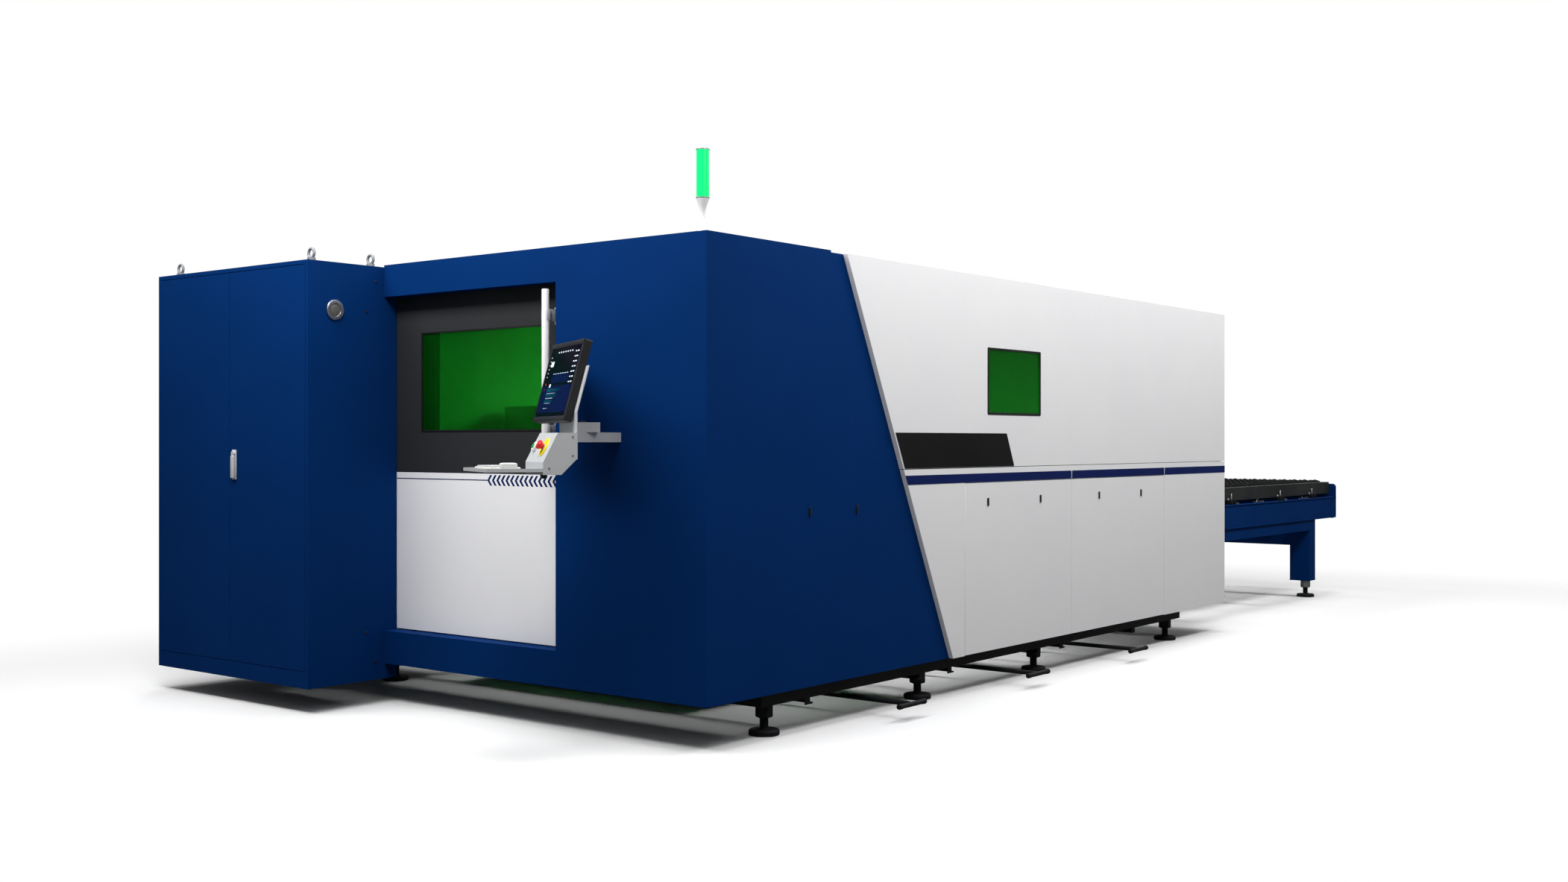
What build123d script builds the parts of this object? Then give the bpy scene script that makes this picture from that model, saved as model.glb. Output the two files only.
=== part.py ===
from build123d import *
from math import cos, radians, sin, tan
import os

# Fibre laser cutting machine with an exchange table, in millimetres.
# X runs to the operator's right, Y from the operator's side to the rear, Z up from the floor.
# While the pieces are made, X = 0 is the right side plane and Y = 0 the front plane of the casing.
# At the end every piece is moved so that the origin is the bottom centre of the whole machine.

# Sheet metal and running gaps
SHEET = 2.5
SEAM = 3.0
FIT = 0.3
SHAFT_FIT = 0.1
PANEL_DEPTH = 25.0

# Casing
CASE_WIDTH = 2830.0
CASE_LENGTH = 5480.0
CASE_FLOOR = 200.0
CASE_TOP = 2200.0
FRONT_MODULE_LENGTH = 885.0
FRONT_MODULE_RISE = 10.0
SLANT_TOP_Y = 980.0
SLANT_FOOT_Y = 1916.0
COVER_RETURN = 40.0

# Front door opening and the sliding door
OPENING_RIGHT = -909.0
OPENING_WIDTH = 1240.0
OPENING_SILL = 366.0
OPENING_TOP = 2050.0
DOOR_SETBACK = 81.0
DOOR_THICKNESS = 40.0
DOOR_LAP = 29.0
DOOR_SILL_GAP = 6.0
DOOR_LAP_TOP = 30.0
DOOR_SPLIT = 1165.0
DOOR_TRAVEL = 1140.0
WINDOW_MARGIN = 20.0
GLASS = 8.0
DOOR_WINDOW_LEFT = -1953.0
DOOR_WINDOW_WIDTH = 873.0
DOOR_WINDOW_FOOT = 1373.0
DOOR_WINDOW_HEIGHT = 490.0
HANDLE_X = -975.0
HANDLE_RADIUS = 17.5
HANDLE_STANDOFF = 81.0
HANDLE_LENGTH = 770.0
HANDLE_END_SETBACK = 119.0
HANDLE_TOP_GAP = 60.0
HANDLE_POST_WIDTH = 22.0
HANDLE_POST_HEIGHT = 56.0
TRACK_FIN = 6.0
TRACK_FIN_HEIGHT = 40.0
TRACK_PLATE = 8.0
HANGER_LENGTH = 120.0
HANGER_INSET = 200.0
HANGER_WIDTH = 26.0
GUIDE_LENGTH = 100.0
GUIDE_HEIGHT = 18.0

# Electrical cabinet
CABINET_WIDTH = 1328.0
CABINET_REACH = 450.0
CABINET_FLOOR = 124.0
CABINET_BORDER = 20.0
CABINET_PLINTH = 81.0
CABINET_SHEET = 2.0
CABINET_DOOR_DEPTH = 25.0
DOOR_PIN_RADIUS = 2.4
DOOR_PIN_INSET = 3.0
DOOR_PIN_DEPTH = 2.0
SWING_HANDLE_WIDTH = 39.0
SWING_HANDLE_HEIGHT = 151.0
SWING_HANDLE_DEPTH = 18.0
SWING_HANDLE_OFFSET = 45.0
SWING_HANDLE_Z = 1203.5
SWING_SHAFT_RADIUS = 8.0
PLATE_MARGIN = 75.0
PLATE_SETBACK = 18.0
MODULE_DEPTH = 170.0
MODULE_WIDTH = 150.0
MODULE_HEIGHT = 320.0
MODULE_COUNT = 6
MODULE_ROWS = 4
PORT_RADIUS = 50.0
PORT_Y = -298.0
PORT_Z = 1965.0
PORT_DEPTH = 12.0
EYE_INSET_X = 35.0
EYE_INSET_Y = 45.0
EYE_RING_RADIUS = 22.0
EYE_BAR_RADIUS = 7.0
EYE_COLLAR_RADIUS = 20.0
EYE_COLLAR_HEIGHT = 14.0

# Laser source in the left bay
SOURCE_LENGTH = 640.0
SOURCE_HEIGHT = 1180.0
SOURCE_INSET = 40.0

# Right side: seams, stripe, plate, window and access doors
SIDE_SEAM_Z = 1183.0
STRIPE_FOOT = 1105.0
STRIPE_HEIGHT = 46.0
STRIPE_PROUD = 1.5
ACCESS_FRONT_Y = 2032.0
ACCESS_MIDDLE_Y = 3214.0
ACCESS_REAR_Y = 4488.0
ACCESS_SWING = 80.0
PLATE_FOOT = 1187.0
PLATE_TOP = 1364.0
PLATE_FRONT_GAP = 12.0
PLATE_REAR_TOP_Y = 2459.0
PLATE_REAR_FOOT_Y = 2540.0
PLATE_PROUD = 4.0
SIDE_WINDOW_Y = 2267.0
SIDE_WINDOW_LENGTH = 569.0
SIDE_WINDOW_FOOT = 1470.0
SIDE_WINDOW_HEIGHT = 347.0
LATCH_Z = 998.0
LATCH_HEIGHT = 44.0
LATCH_WIDTH = 13.0
LATCH_PROUD = 5.0
LATCH_SHAFT_RADIUS = 5.0
LATCH_CAM_LENGTH = 36.0
LATCH_FRONT_Y = 2264.0
LATCH_REAR_Y = 3563.0
LATCH_SPACING = 576.0
COVER_LATCH_Y = 720.0
COVER_LATCH_SPACING = 370.0

# Casing frame of square bar
TUBE = 40.0
POCKET_REAR = 150.0
CROSS_BEAM_HEIGHT = 60.0

# Bed
BEAM_WIDTH = 200.0
LOWER_RAIL_FOOT = 140.0
LOWER_RAIL_HEIGHT = 120.0
LOWER_RAIL_FRONT = 420.0
LOWER_RAIL_REAR_GAP = 600.0
UPPER_BEAM_FOOT = 850.0
UPPER_BEAM_TOP = 1110.0
UPPER_BEAM_FRONT = 1100.0
UPPER_BEAM_REAR_GAP = 280.0
POST_LENGTH = 180.0
CROSS_RAIL_LENGTH = 100.0
WEB = 20.0
LEDGE_REACH = 207.5
LEDGE = 20.0
LEDGE_FRONT = 1500.0
LEDGE_REAR_GAP = 60.0
GUIDE_RAIL_WIDTH = 30.0
GUIDE_RAIL_HEIGHT = 30.0
RACK_WIDTH = 22.0
RACK_GAP = 32.0
RAIL_END_SETBACK = 50.0

# Levelling feet
FOOT_INSET = 107.0
FOOT_FIRST_Y = 520.0
FOOT_SECOND_Y = 1780.0
FOOT_THIRD_Y = 3000.0
FOOT_REAR_GAP = 690.0
FOOT_PAD_RADIUS = 70.5
FOOT_PAD_HEIGHT = 26.0
FOOT_STEM_RADIUS = 17.0
FOOT_NUT_RADIUS = 36.0
FOOT_NUT_HEIGHT = 66.0

# Scrap drawers
DRAWER_FIRST_Y = 1240.0
DRAWER_PITCH = 1230.0
DRAWER_COUNT = 3
DRAWER_WIDTH = 880.0
DRAWER_FOOT = 40.0
DRAWER_HEIGHT = 82.0
DRAWER_WALL = 4.0
DRAWER_RIGHT = -750.0
DRAWER_LENGTH = 1600.0
DRAWER_TRAVEL = 1400.0
RUNNER_LIP = 20.0
RUNNER_SHEET = 4.0
RUNNER_WIDTH = 58.0
PULL_REACH = 215.0
PULL_Z = 75.0
PULL_RADIUS = 12.0
PULL_LENGTH = 220.0

# Gantry, carriage and cutting head
GANTRY_Y = 1500.0
GANTRY_END_GAP = 410.0
GANTRY_BEAM_LENGTH = 260.0
GANTRY_BEAM_HEIGHT = 280.0
TRUCK_LENGTH = 560.0
TRUCK_FRONT = 190.0
TRUCK_HEIGHT = 105.0
TRUCK_CLEARANCE = 10.0
BEARING_LENGTH = 110.0
BEARING_WIDTH = 70.0
BEAM_RAIL = 22.0
BEAM_RAIL_INSET = 45.0
CARRIAGE_WIDTH = 300.0
CARRIAGE_PLATE = 25.0
CARRIAGE_TRAVEL = 790.0
DRIVE_SIDE = 90.0
DRIVE_MOTOR_RADIUS = 42.0
DRIVE_MOTOR_HEIGHT = 220.0
Z_SLIDE_WIDTH = 190.0
Z_SLIDE_DEPTH = 80.0
Z_SLIDE_FOOT = 1235.0
Z_SLIDE_HEIGHT = 430.0
Z_TRAVEL = 235.0
HEAD_WIDTH = 96.0
HEAD_DEPTH = 84.0
HEAD_FOOT = 1150.0
HEAD_HEIGHT = 270.0
HEAD_BARREL_RADIUS = 32.0
HEAD_BARREL_LENGTH = 65.0
NOZZLE_LENGTH = 30.0
NOZZLE_ROOT_RADIUS = 18.0
NOZZLE_TIP_RADIUS = 4.0

# Pallets
PALLET_LEFT_GAP = 360.0
PALLET_LENGTH = 3120.0
PALLET_RAIL_WIDTH = 60.0
PALLET_RAIL_HEIGHT = 98.0
PALLET_CROSS = 50.0
PALLET_CROSS_HEIGHT = 60.0
PALLET_CROSS_COUNT = 4
PALLET_REST_GAP = 150.0
PALLET_HOME_Y = 1750.0
UPPER_PALLET_FOOT = 866.0
LEVEL_STEP = 170.0
SLAT_COUNT = 30
SLAT_SHEET = 4.0
SLAT_RISE = 21.0
SLAT_TOOTH_PITCH = 90.0
SLAT_TOOTH_DEPTH = 12.0
SLAT_BODY = 52.0

# Exchange table
TABLE_INSET = 310.0
TABLE_LENGTH = 3310.0
TABLE_BEAM_WIDTH = 24.0
TABLE_BEAM_TOP = 838.0
TABLE_BEAM_HEIGHT = 182.0
TABLE_SILL_HEIGHT = 88.0
TABLE_SILL_SETBACK = 8.0
TABLE_END_PLATE = 12.0
TABLE_END_FOOT = 648.0
TABLE_END_TOP = 948.0
TABLE_END_CORNER = 30.0
TABLE_LEG_REAR_GAP = 505.0
TABLE_LEG_LENGTH = 135.0
TABLE_LEG_WIDTH = 169.0
TABLE_LEG_FOOT = 140.0
TABLE_CROSS_HEIGHT = 130.0
TABLE_FOOT_INSET = 60.0
ROLLER_RADIUS = 25.0
ROLLER_WIDTH = 28.0
ROLLER_AXLE_RADIUS = 9.0
ROLLER_FIRST_GAP = 120.0
ROLLER_PITCH = 510.0
ROLLER_COUNT = 6

# Rear wall and its lifting door
REAR_OPENING_INSET = 345.0
REAR_OPENING_FOOT = 590.0
REAR_OPENING_TOP = 1000.0
REAR_DOOR_SHEET = 18.0
REAR_DOOR_LAP = 6.0
REAR_DOOR_TRAVEL = 412.0
REAR_GUIDE_WIDTH = 24.0

# Fume extraction spigot on the left side
SPIGOT_RADIUS = 125.0
SPIGOT_WALL = 3.0
SPIGOT_REAR_GAP = 530.0
SPIGOT_PANEL_GAP = 462.0
SPIGOT_Z = 620.0
SPIGOT_REACH = 110.0
SPIGOT_FLANGE_RADIUS = 165.0
SPIGOT_FLANGE = 6.0

# Signal tower
TOWER_X = -62.0
TOWER_Y = 48.0
TOWER_FOOT_RADIUS = 22.0
TOWER_WAIST_RADIUS = 10.5
TOWER_RADIUS = 29.0
TOWER_WAIST_Z = 85.0
TOWER_LAMP_Z = 147.0
TOWER_LAMP_HEIGHT = 205.0
TOWER_CAP_HEIGHT = 20.0

# Operator console
CONSOLE_X = -536.0
CONSOLE_Y = -205.0
CONSOLE_TURN = 29.0
ARM_WIDTH = 80.0
ARM_THICKNESS = 42.5
ARM_FOOT = 1317.5
ARM_END = 65.0
ARM_CORNER = 30.0
PIVOT_RADIUS = 14.0
ARM_REAR = 73.0
BACK_OFFSET = 85.0
BACK_SHEET = 4.0
BACK_WIDTH = 255.0
BACK_BEND_RISE = 126.5
BACK_UPPER_LENGTH = 200.0
BOX_RIGHT = 250.0
BOX_WIDTH = 300.0
BOX_TOP_RISE = 39.5
BOX_HEIGHT = 174.0
BOX_DEPTH = 142.0
BOX_TOP_DEPTH = 79.0
BOX_NOSE = 52.0
BOX_CHAMFER = 64.0
MONITOR_RIGHT = 212.0
MONITOR_WIDTH = 535.0
MONITOR_HEIGHT = 356.0
MONITOR_THICKNESS = 32.0
MONITOR_FOOT_RISE = 80.5
MONITOR_TILT = 15.0
TRAY_WIDTH = 450.0
TRAY_DEPTH = 236.0
TRAY_SHEET = 4.0
TRAY_RIM = 14.0
BUTTON_TRAVEL = 6.0
BUTTON_STEM_RADIUS = 8.0
BUTTON_STEM = 14.0
ESTOP_RADIUS = 20.0
ESTOP_HEAD = 28.0
ESTOP_ACROSS = 98.0
START_RADIUS = 12.0
START_HEAD = 12.0
START_ACROSS = 240.0
BUTTON_HOLE_DEPTH = 30.0

# Levels and planes that follow from the driving sizes
BED_CENTRE = -CASE_WIDTH / 2
BACK_BEND_Z = ARM_FOOT + BACK_BEND_RISE
BOX_TOP = ARM_FOOT + BOX_TOP_RISE
MONITOR_FOOT_Z = ARM_FOOT + MONITOR_FOOT_RISE
LOWER_RAIL_REAR = CASE_LENGTH - LOWER_RAIL_REAR_GAP
UPPER_BEAM_REAR = CASE_LENGTH - UPPER_BEAM_REAR_GAP
LEDGE_REAR = CASE_LENGTH - LEDGE_REAR_GAP
FOOT_STATIONS = (FOOT_FIRST_Y, FOOT_SECOND_Y, FOOT_THIRD_Y, CASE_LENGTH - FOOT_REAR_GAP)
DRAWER_STATIONS = tuple(DRAWER_FIRST_Y + DRAWER_PITCH * i for i in range(DRAWER_COUNT))
HANDLE_FOOT = OPENING_TOP + DOOR_LAP_TOP - HANDLE_TOP_GAP - HANDLE_LENGTH
SPIGOT_Y = CASE_LENGTH - SPIGOT_REAR_GAP
GANTRY_TRAVEL = CASE_LENGTH - GANTRY_END_GAP - (GANTRY_Y - TRUCK_FRONT + TRUCK_LENGTH)
PALLET_REST_Y = CASE_LENGTH + PALLET_REST_GAP
PALLET_TRAVEL = PALLET_REST_Y - PALLET_HOME_Y
ROLLER_FIRST_Y = CASE_LENGTH + ROLLER_FIRST_GAP
FRAME_FACE = -SHEET
CASE_LEFT = -CASE_WIDTH
PANEL_FACE = PANEL_DEPTH
FRONT_TOP = CASE_TOP + FRONT_MODULE_RISE
OPENING_LEFT = OPENING_RIGHT - OPENING_WIDTH
CABINET_RIGHT = OPENING_LEFT
CABINET_LEFT = CABINET_RIGHT - CABINET_WIDTH
CABINET_FRONT = -CABINET_REACH
CABINET_REAR = DOOR_SETBACK - SEAM
BEAM_OUTER = FRAME_FACE - TUBE
BEAM_INNER = BEAM_OUTER - BEAM_WIDTH
WEB_INNER = BEAM_INNER - WEB
CASE_REAR_FACE = CASE_LENGTH
DOOR_FRONT = DOOR_SETBACK
DOOR_REAR = DOOR_SETBACK + DOOR_THICKNESS
DOOR_RIGHT = OPENING_RIGHT + DOOR_LAP
DOOR_LEFT = OPENING_LEFT - DOOR_LAP
DOOR_FOOT = OPENING_SILL + DOOR_SILL_GAP
DOOR_TOP = OPENING_TOP + DOOR_LAP_TOP
DOOR_MIDDLE = (DOOR_FRONT + DOOR_REAR) / 2
TRACK_TOP = DOOR_TOP + TRACK_FIN_HEIGHT + TRACK_PLATE + SEAM
GANTRY_RAIL_X = (BEAM_OUTER + BEAM_INNER) / 2
TRUCK_FOOT = UPPER_BEAM_TOP + GUIDE_RAIL_HEIGHT + SEAM
GANTRY_BEAM_FOOT = TRUCK_FOOT + TRUCK_HEIGHT
GANTRY_BEAM_FRONT = GANTRY_Y - GANTRY_BEAM_LENGTH / 2
CARRIAGE_FRONT = GANTRY_BEAM_FRONT - BEAM_RAIL - 2 * SEAM - CARRIAGE_PLATE
PALLET_FOOTS = (UPPER_PALLET_FOOT, UPPER_PALLET_FOOT - LEVEL_STEP)
TABLE_REAR = CASE_LENGTH + TABLE_LENGTH
TABLE_LEG_Y = TABLE_REAR - TABLE_LEG_REAR_GAP - TABLE_LEG_LENGTH


def block(x0, x1, y0, y1, z0, z1):
    """Rectangular solid between three pairs of limits."""
    return Pos((x0 + x1) / 2, (y0 + y1) / 2, (z0 + z1) / 2) * Box(x1 - x0, y1 - y0, z1 - z0)


def bar(axis, x, y, z, radius, length):
    """Round bar centred on a point, along the axis named."""
    turn = {"X": Rot(0, 90, 0), "Y": Rot(90, 0, 0), "Z": Rot(0, 0, 0)}[axis]
    return Pos(x, y, z) * turn * Cylinder(radius, length)


def side_plate(points, x0, x1):
    """Outline of (y, z) points thickened from x0 to x1."""
    face = make_face(Plane.YZ * Polyline(*points, close=True))
    return Pos(x0, 0, 0) * extrude(face, amount=x1 - x0, dir=(1, 0, 0))


def front_plate(points, y0, y1):
    """Outline of (x, z) points thickened from y0 to y1."""
    face = make_face(Plane.XZ * Polyline(*points, close=True))
    return Pos(0, y0, 0) * extrude(face, amount=y1 - y0, dir=(0, 1, 0))


def mirrored(shape):
    """The same piece on the other side of the bed."""
    return Pos(BED_CENTRE, 0, 0) * mirror(Pos(-BED_CENTRE, 0, 0) * shape, about=Plane.YZ)


def both_sides(shape):
    """A right-hand piece with its left-hand twin."""
    return [shape, mirrored(shape)]


def slant_y(z):
    """Where the slanted joint between the two colours lies at a height."""
    share = (z - CASE_FLOOR) / (CASE_TOP - CASE_FLOOR)
    return SLANT_FOOT_Y + (SLANT_TOP_Y - SLANT_FOOT_Y) * share


def side_tray(y_front, y_rear, z0, z1, x_back=FRAME_FACE):
    """Folded panel on the right side, open towards the frame. Its front edge follows y_front(z)."""
    outer = side_plate(
        [(y_front(z0), z0), (y_rear, z0), (y_rear, z1), (y_front(z1), z1)], x_back, PANEL_FACE
    )
    low, high, back = z0 + SHEET, z1 - SHEET, y_rear - SHEET
    inner = side_plate(
        [(y_front(low) + SHEET, low), (back, low), (back, high), (y_front(high) + SHEET, high)],
        x_back - 1,
        PANEL_FACE - SHEET,
    )
    return outer - inner


def straight(y):
    """An upright front edge for side_tray."""
    return lambda z: y


def flat_tray(x0, x1, y0, y1, z0, z1, opens):
    """Folded panel with four returned edges, open on the side named by its direction."""
    inner = [x0 + SHEET, x1 - SHEET, y0 + SHEET, y1 - SHEET, z0 + SHEET, z1 - SHEET]
    slot = {"-X": 0, "+X": 1, "-Y": 2, "+Y": 3, "-Z": 4, "+Z": 5}[opens]
    inner[slot] += SHEET * 2 if slot % 2 else -SHEET * 2
    return block(x0, x1, y0, y1, z0, z1) - block(*inner)


# Bed and casing frame


def bed_frame():
    """Welded bed: lower rails, posts, upper beams, pallet ledges, cross rails and drawer runners."""
    x0, x1 = BEAM_INNER, BEAM_OUTER
    rail_top = LOWER_RAIL_FOOT + LOWER_RAIL_HEIGHT
    members = both_sides(block(x0, x1, LOWER_RAIL_FRONT, LOWER_RAIL_REAR, LOWER_RAIL_FOOT, rail_top))
    members += both_sides(
        block(x0, x1, UPPER_BEAM_FRONT, UPPER_BEAM_REAR, UPPER_BEAM_FOOT, UPPER_BEAM_TOP)
    )
    half = POST_LENGTH / 2
    for y in FOOT_STATIONS[1:]:
        members += both_sides(block(x0, x1, y - half, y + half, rail_top, UPPER_BEAM_FOOT))
    ledge_floor = PALLET_FOOTS[1] - FIT - LEDGE
    members += both_sides(block(WEB_INNER, x0, LEDGE_FRONT, LEDGE_REAR, ledge_floor, UPPER_BEAM_TOP))
    for foot in PALLET_FOOTS:
        top = foot - FIT
        ledge_inner = WEB_INNER - LEDGE_REACH
        members += both_sides(block(ledge_inner, WEB_INNER, LEDGE_FRONT, LEDGE_REAR, top - LEDGE, top))
    half = CROSS_RAIL_LENGTH / 2
    for y in FOOT_STATIONS:
        members.append(block(2 * BED_CENTRE - x0, x0, y - half, y + half, LOWER_RAIL_FOOT, rail_top))
    for y in DRAWER_STATIONS:
        members += [drawer_runner(y, 1), drawer_runner(y, -1)]
    return members


def runner_top():
    """Top of the ledge that a drawer's lips slide on."""
    return DRAWER_FOOT + DRAWER_HEIGHT - DRAWER_WALL - FIT


def drawer_runner(y, side):
    """Angle that hangs under the lower rails beside a drawer, with an end plate at each rail."""
    wall = y + side * (DRAWER_WIDTH / 2 + RUNNER_LIP + FIT)
    outer = wall + side * RUNNER_SHEET
    inner = y + side * (DRAWER_WIDTH / 2 + FIT)
    left, right = 2 * BED_CENTRE - BEAM_OUTER, BEAM_OUTER
    top = runner_top()
    web = block(left, right, min(wall, outer), max(wall, outer), top - RUNNER_SHEET, LOWER_RAIL_FOOT)
    lip = block(left, right, min(inner, outer), max(inner, outer), top - RUNNER_SHEET, top)
    far = inner + side * RUNNER_WIDTH
    foot = top - 2 * RUNNER_SHEET
    end = block(right - RUNNER_SHEET, right, min(inner, far), max(inner, far), foot, LOWER_RAIL_FOOT)
    gap_x0, gap_x1 = right - 2 * RUNNER_SHEET, right + RUNNER_SHEET
    end -= block(gap_x0, gap_x1, min(inner, wall) - FIT, max(inner, wall), top, CASE_TOP)
    return web + lip + end


def enclosure_frame():
    """Square-bar frame that carries the casing's panels, and the lug of the access doors' middle pins."""
    low, high = CASE_FLOOR + SHEET, CASE_TOP - PANEL_DEPTH - SHEET
    inner = FRAME_FACE - TUBE
    rear = CASE_LENGTH - PANEL_DEPTH - SHEET
    middles = (FRONT_MODULE_LENGTH - TUBE / 2, ACCESS_FRONT_Y, ACCESS_MIDDLE_Y, ACCESS_REAR_Y)
    seam = SIDE_SEAM_Z - TUBE / 2
    bars = []
    for start, twin in ((SHEET, False), (POCKET_REAR, True)):
        side = [block(inner, FRAME_FACE, start, rear, z, z + TUBE) for z in (low, seam, high - TUBE)]
        for y in (start + TUBE / 2, *middles, rear - TUBE / 2):
            for z0, z1 in ((low + TUBE, seam), (seam + TUBE, high - TUBE)):
                side.append(block(inner, FRAME_FACE, y - TUBE / 2, y + TUBE / 2, z0, z1))
        bars += [mirrored(piece) for piece in side] if twin else side
    left = 2 * BED_CENTRE - inner
    for y in (POCKET_REAR, rear - TUBE):
        bars.append(block(left, inner, y, y + TUBE, high - CROSS_BEAM_HEIGHT, high))
    x, z = flap_hinge()
    half = SEAM / 2 - FIT
    y = ACCESS_MIDDLE_Y
    lug = block(FRAME_FACE, x + DOOR_PIN_RADIUS, y - half, y + half, z - DOOR_PIN_INSET, z + DOOR_PIN_INSET)
    lug += flap_pin(y, SEAM + 2 * DOOR_PIN_DEPTH)
    bars.append(lug)
    return bars


def levelling_feet():
    """Levelling feet: a round pad, a threaded stem and a nut under each corner and post."""
    spots = []
    for y in FOOT_STATIONS:
        spots.append((-FOOT_INSET, y, LOWER_RAIL_FOOT))
        spots.append((CASE_LEFT + FOOT_INSET, y, LOWER_RAIL_FOOT))
    table_foot = TABLE_INSET + TABLE_FOOT_INSET + TABLE_SILL_SETBACK
    for x in (-table_foot, 2 * BED_CENTRE + table_foot):
        spots.append((x, TABLE_LEG_Y + TABLE_LEG_LENGTH / 2, TABLE_LEG_FOOT))
    feet = []
    for x, y, top in spots:
        pad = Cylinder(FOOT_PAD_RADIUS, FOOT_PAD_HEIGHT, align=(Align.CENTER, Align.CENTER, Align.MIN))
        pad = fillet(pad.edges().sort_by(Axis.Z)[-1], FOOT_PAD_HEIGHT / 3)
        foot = Pos(x, y, 0) * pad
        foot += bar("Z", x, y, (FOOT_PAD_HEIGHT + top) / 2, FOOT_STEM_RADIUS, top - FOOT_PAD_HEIGHT)
        foot += bar("Z", x, y, top - FOOT_NUT_HEIGHT / 2, FOOT_NUT_RADIUS, FOOT_NUT_HEIGHT)
        feet.append(foot)
    return feet


def gantry_rails():
    """Guide rail and gear rack on top of each upper beam."""
    y0, y1 = UPPER_BEAM_FRONT + RAIL_END_SETBACK, UPPER_BEAM_REAR - RAIL_END_SETBACK
    z0, z1 = UPPER_BEAM_TOP, UPPER_BEAM_TOP + GUIDE_RAIL_HEIGHT
    half = GUIDE_RAIL_WIDTH / 2
    rail = block(GANTRY_RAIL_X - half, GANTRY_RAIL_X + half, y0, y1, z0, z1)
    rack_right = GANTRY_RAIL_X - half - RACK_GAP
    rack = block(rack_right - RACK_WIDTH, rack_right, y0, y1, z0, z1 - SEAM)
    return both_sides(rail) + both_sides(rack)


# Casing


def front_cover():
    """Blue front corner: front face, long side face with the slanted end, top and door jamb."""
    front = block(OPENING_RIGHT, 0, 0, SHEET, CASE_FLOOR, FRONT_TOP)
    outline = [
        (0, CASE_FLOOR),
        (SLANT_FOOT_Y, CASE_FLOOR),
        (SLANT_TOP_Y, CASE_TOP),
        (FRONT_MODULE_LENGTH, CASE_TOP),
        (FRONT_MODULE_LENGTH, FRONT_TOP),
        (0, FRONT_TOP),
    ]
    side = side_plate(outline, -SHEET, 0)
    top = block(OPENING_RIGHT, 0, 0, FRONT_MODULE_LENGTH, FRONT_TOP - SHEET, FRONT_TOP)
    jamb_rear = DOOR_SETBACK - SEAM
    jamb = block(OPENING_RIGHT, OPENING_RIGHT + SHEET, 0, jamb_rear, CASE_FLOOR, FRONT_TOP)
    foot = block(OPENING_RIGHT, 0, 0, COVER_RETURN, CASE_FLOOR, CASE_FLOOR + SHEET)
    riser = block(
        OPENING_RIGHT, 0, FRONT_MODULE_LENGTH - SHEET, FRONT_MODULE_LENGTH, CASE_TOP, FRONT_TOP
    )
    cover = front + side + top + jamb + foot + riser
    for y in cover_latch_stations():
        cover -= bar("X", 0, y, LATCH_Z, LATCH_SHAFT_RADIUS + SHAFT_FIT, 4 * SHEET)
    return [cover]


def door_surround():
    """Header above and sill below the front door."""
    rear = DOOR_SETBACK - SEAM
    x0, x1 = OPENING_LEFT, OPENING_RIGHT
    header = block(x0, x1, 0, SHEET, OPENING_TOP, FRONT_TOP)
    header += block(x0, x1, 0, FRONT_MODULE_LENGTH, FRONT_TOP - SHEET, FRONT_TOP)
    header += block(x0, x1, 0, rear, OPENING_TOP, OPENING_TOP + SHEET)
    header += block(x0, x1, FRONT_MODULE_LENGTH - SHEET, FRONT_MODULE_LENGTH, CASE_TOP, FRONT_TOP)
    sill = block(x0, x1, 0, SHEET, CASE_FLOOR, OPENING_SILL)
    sill += block(x0, x1, 0, POCKET_REAR, OPENING_SILL - SHEET, OPENING_SILL)
    sill += block(x0, x1, 0, POCKET_REAR, CASE_FLOOR, CASE_FLOOR + SHEET)
    sill += block(x0, x1, POCKET_REAR - SHEET, POCKET_REAR, CASE_FLOOR, OPENING_SILL)
    return [header, sill]


def door_track():
    """Hanging rail above the sliding door, and the short guide under it."""
    half = TRACK_FIN / 2
    left, right = DOOR_LEFT - DOOR_TRAVEL - SEAM, DOOR_RIGHT + SEAM
    plate = block(left, right, DOOR_FRONT + SEAM, POCKET_REAR, TRACK_TOP - TRACK_PLATE, TRACK_TOP)
    fin_foot = DOOR_TOP + 2 * SEAM
    fin = block(left, right, DOOR_MIDDLE - half, DOOR_MIDDLE + half, fin_foot, TRACK_TOP - TRACK_PLATE)
    guide_left = OPENING_LEFT + SEAM
    guide = block(
        guide_left,
        guide_left + GUIDE_LENGTH,
        DOOR_MIDDLE - half,
        DOOR_MIDDLE + half,
        OPENING_SILL,
        OPENING_SILL + GUIDE_HEIGHT,
    )
    return [plate + fin, guide]


def side_panel_upper():
    """White upper side panel with the window opening."""
    foot = SIDE_SEAM_Z + SEAM / 2
    panel = side_tray(slant_y, CASE_LENGTH, foot, CASE_TOP)
    y0, y1 = SIDE_WINDOW_Y, SIDE_WINDOW_Y + SIDE_WINDOW_LENGTH
    z0, z1 = SIDE_WINDOW_FOOT, SIDE_WINDOW_FOOT + SIDE_WINDOW_HEIGHT
    return [panel - block(PANEL_FACE - 2 * SHEET, PANEL_FACE + SHEET, y0, y1, z0, z1)]


def side_window():
    """Laser-safe window pane behind the upper side panel."""
    y0, y1 = SIDE_WINDOW_Y, SIDE_WINDOW_Y + SIDE_WINDOW_LENGTH
    z0, z1 = SIDE_WINDOW_FOOT, SIDE_WINDOW_FOOT + SIDE_WINDOW_HEIGHT
    m = WINDOW_MARGIN
    outer = PANEL_FACE - SHEET
    return [block(outer - GLASS, outer, y0 - m, y1 + m, z0 - m, z1 + m)]


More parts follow.
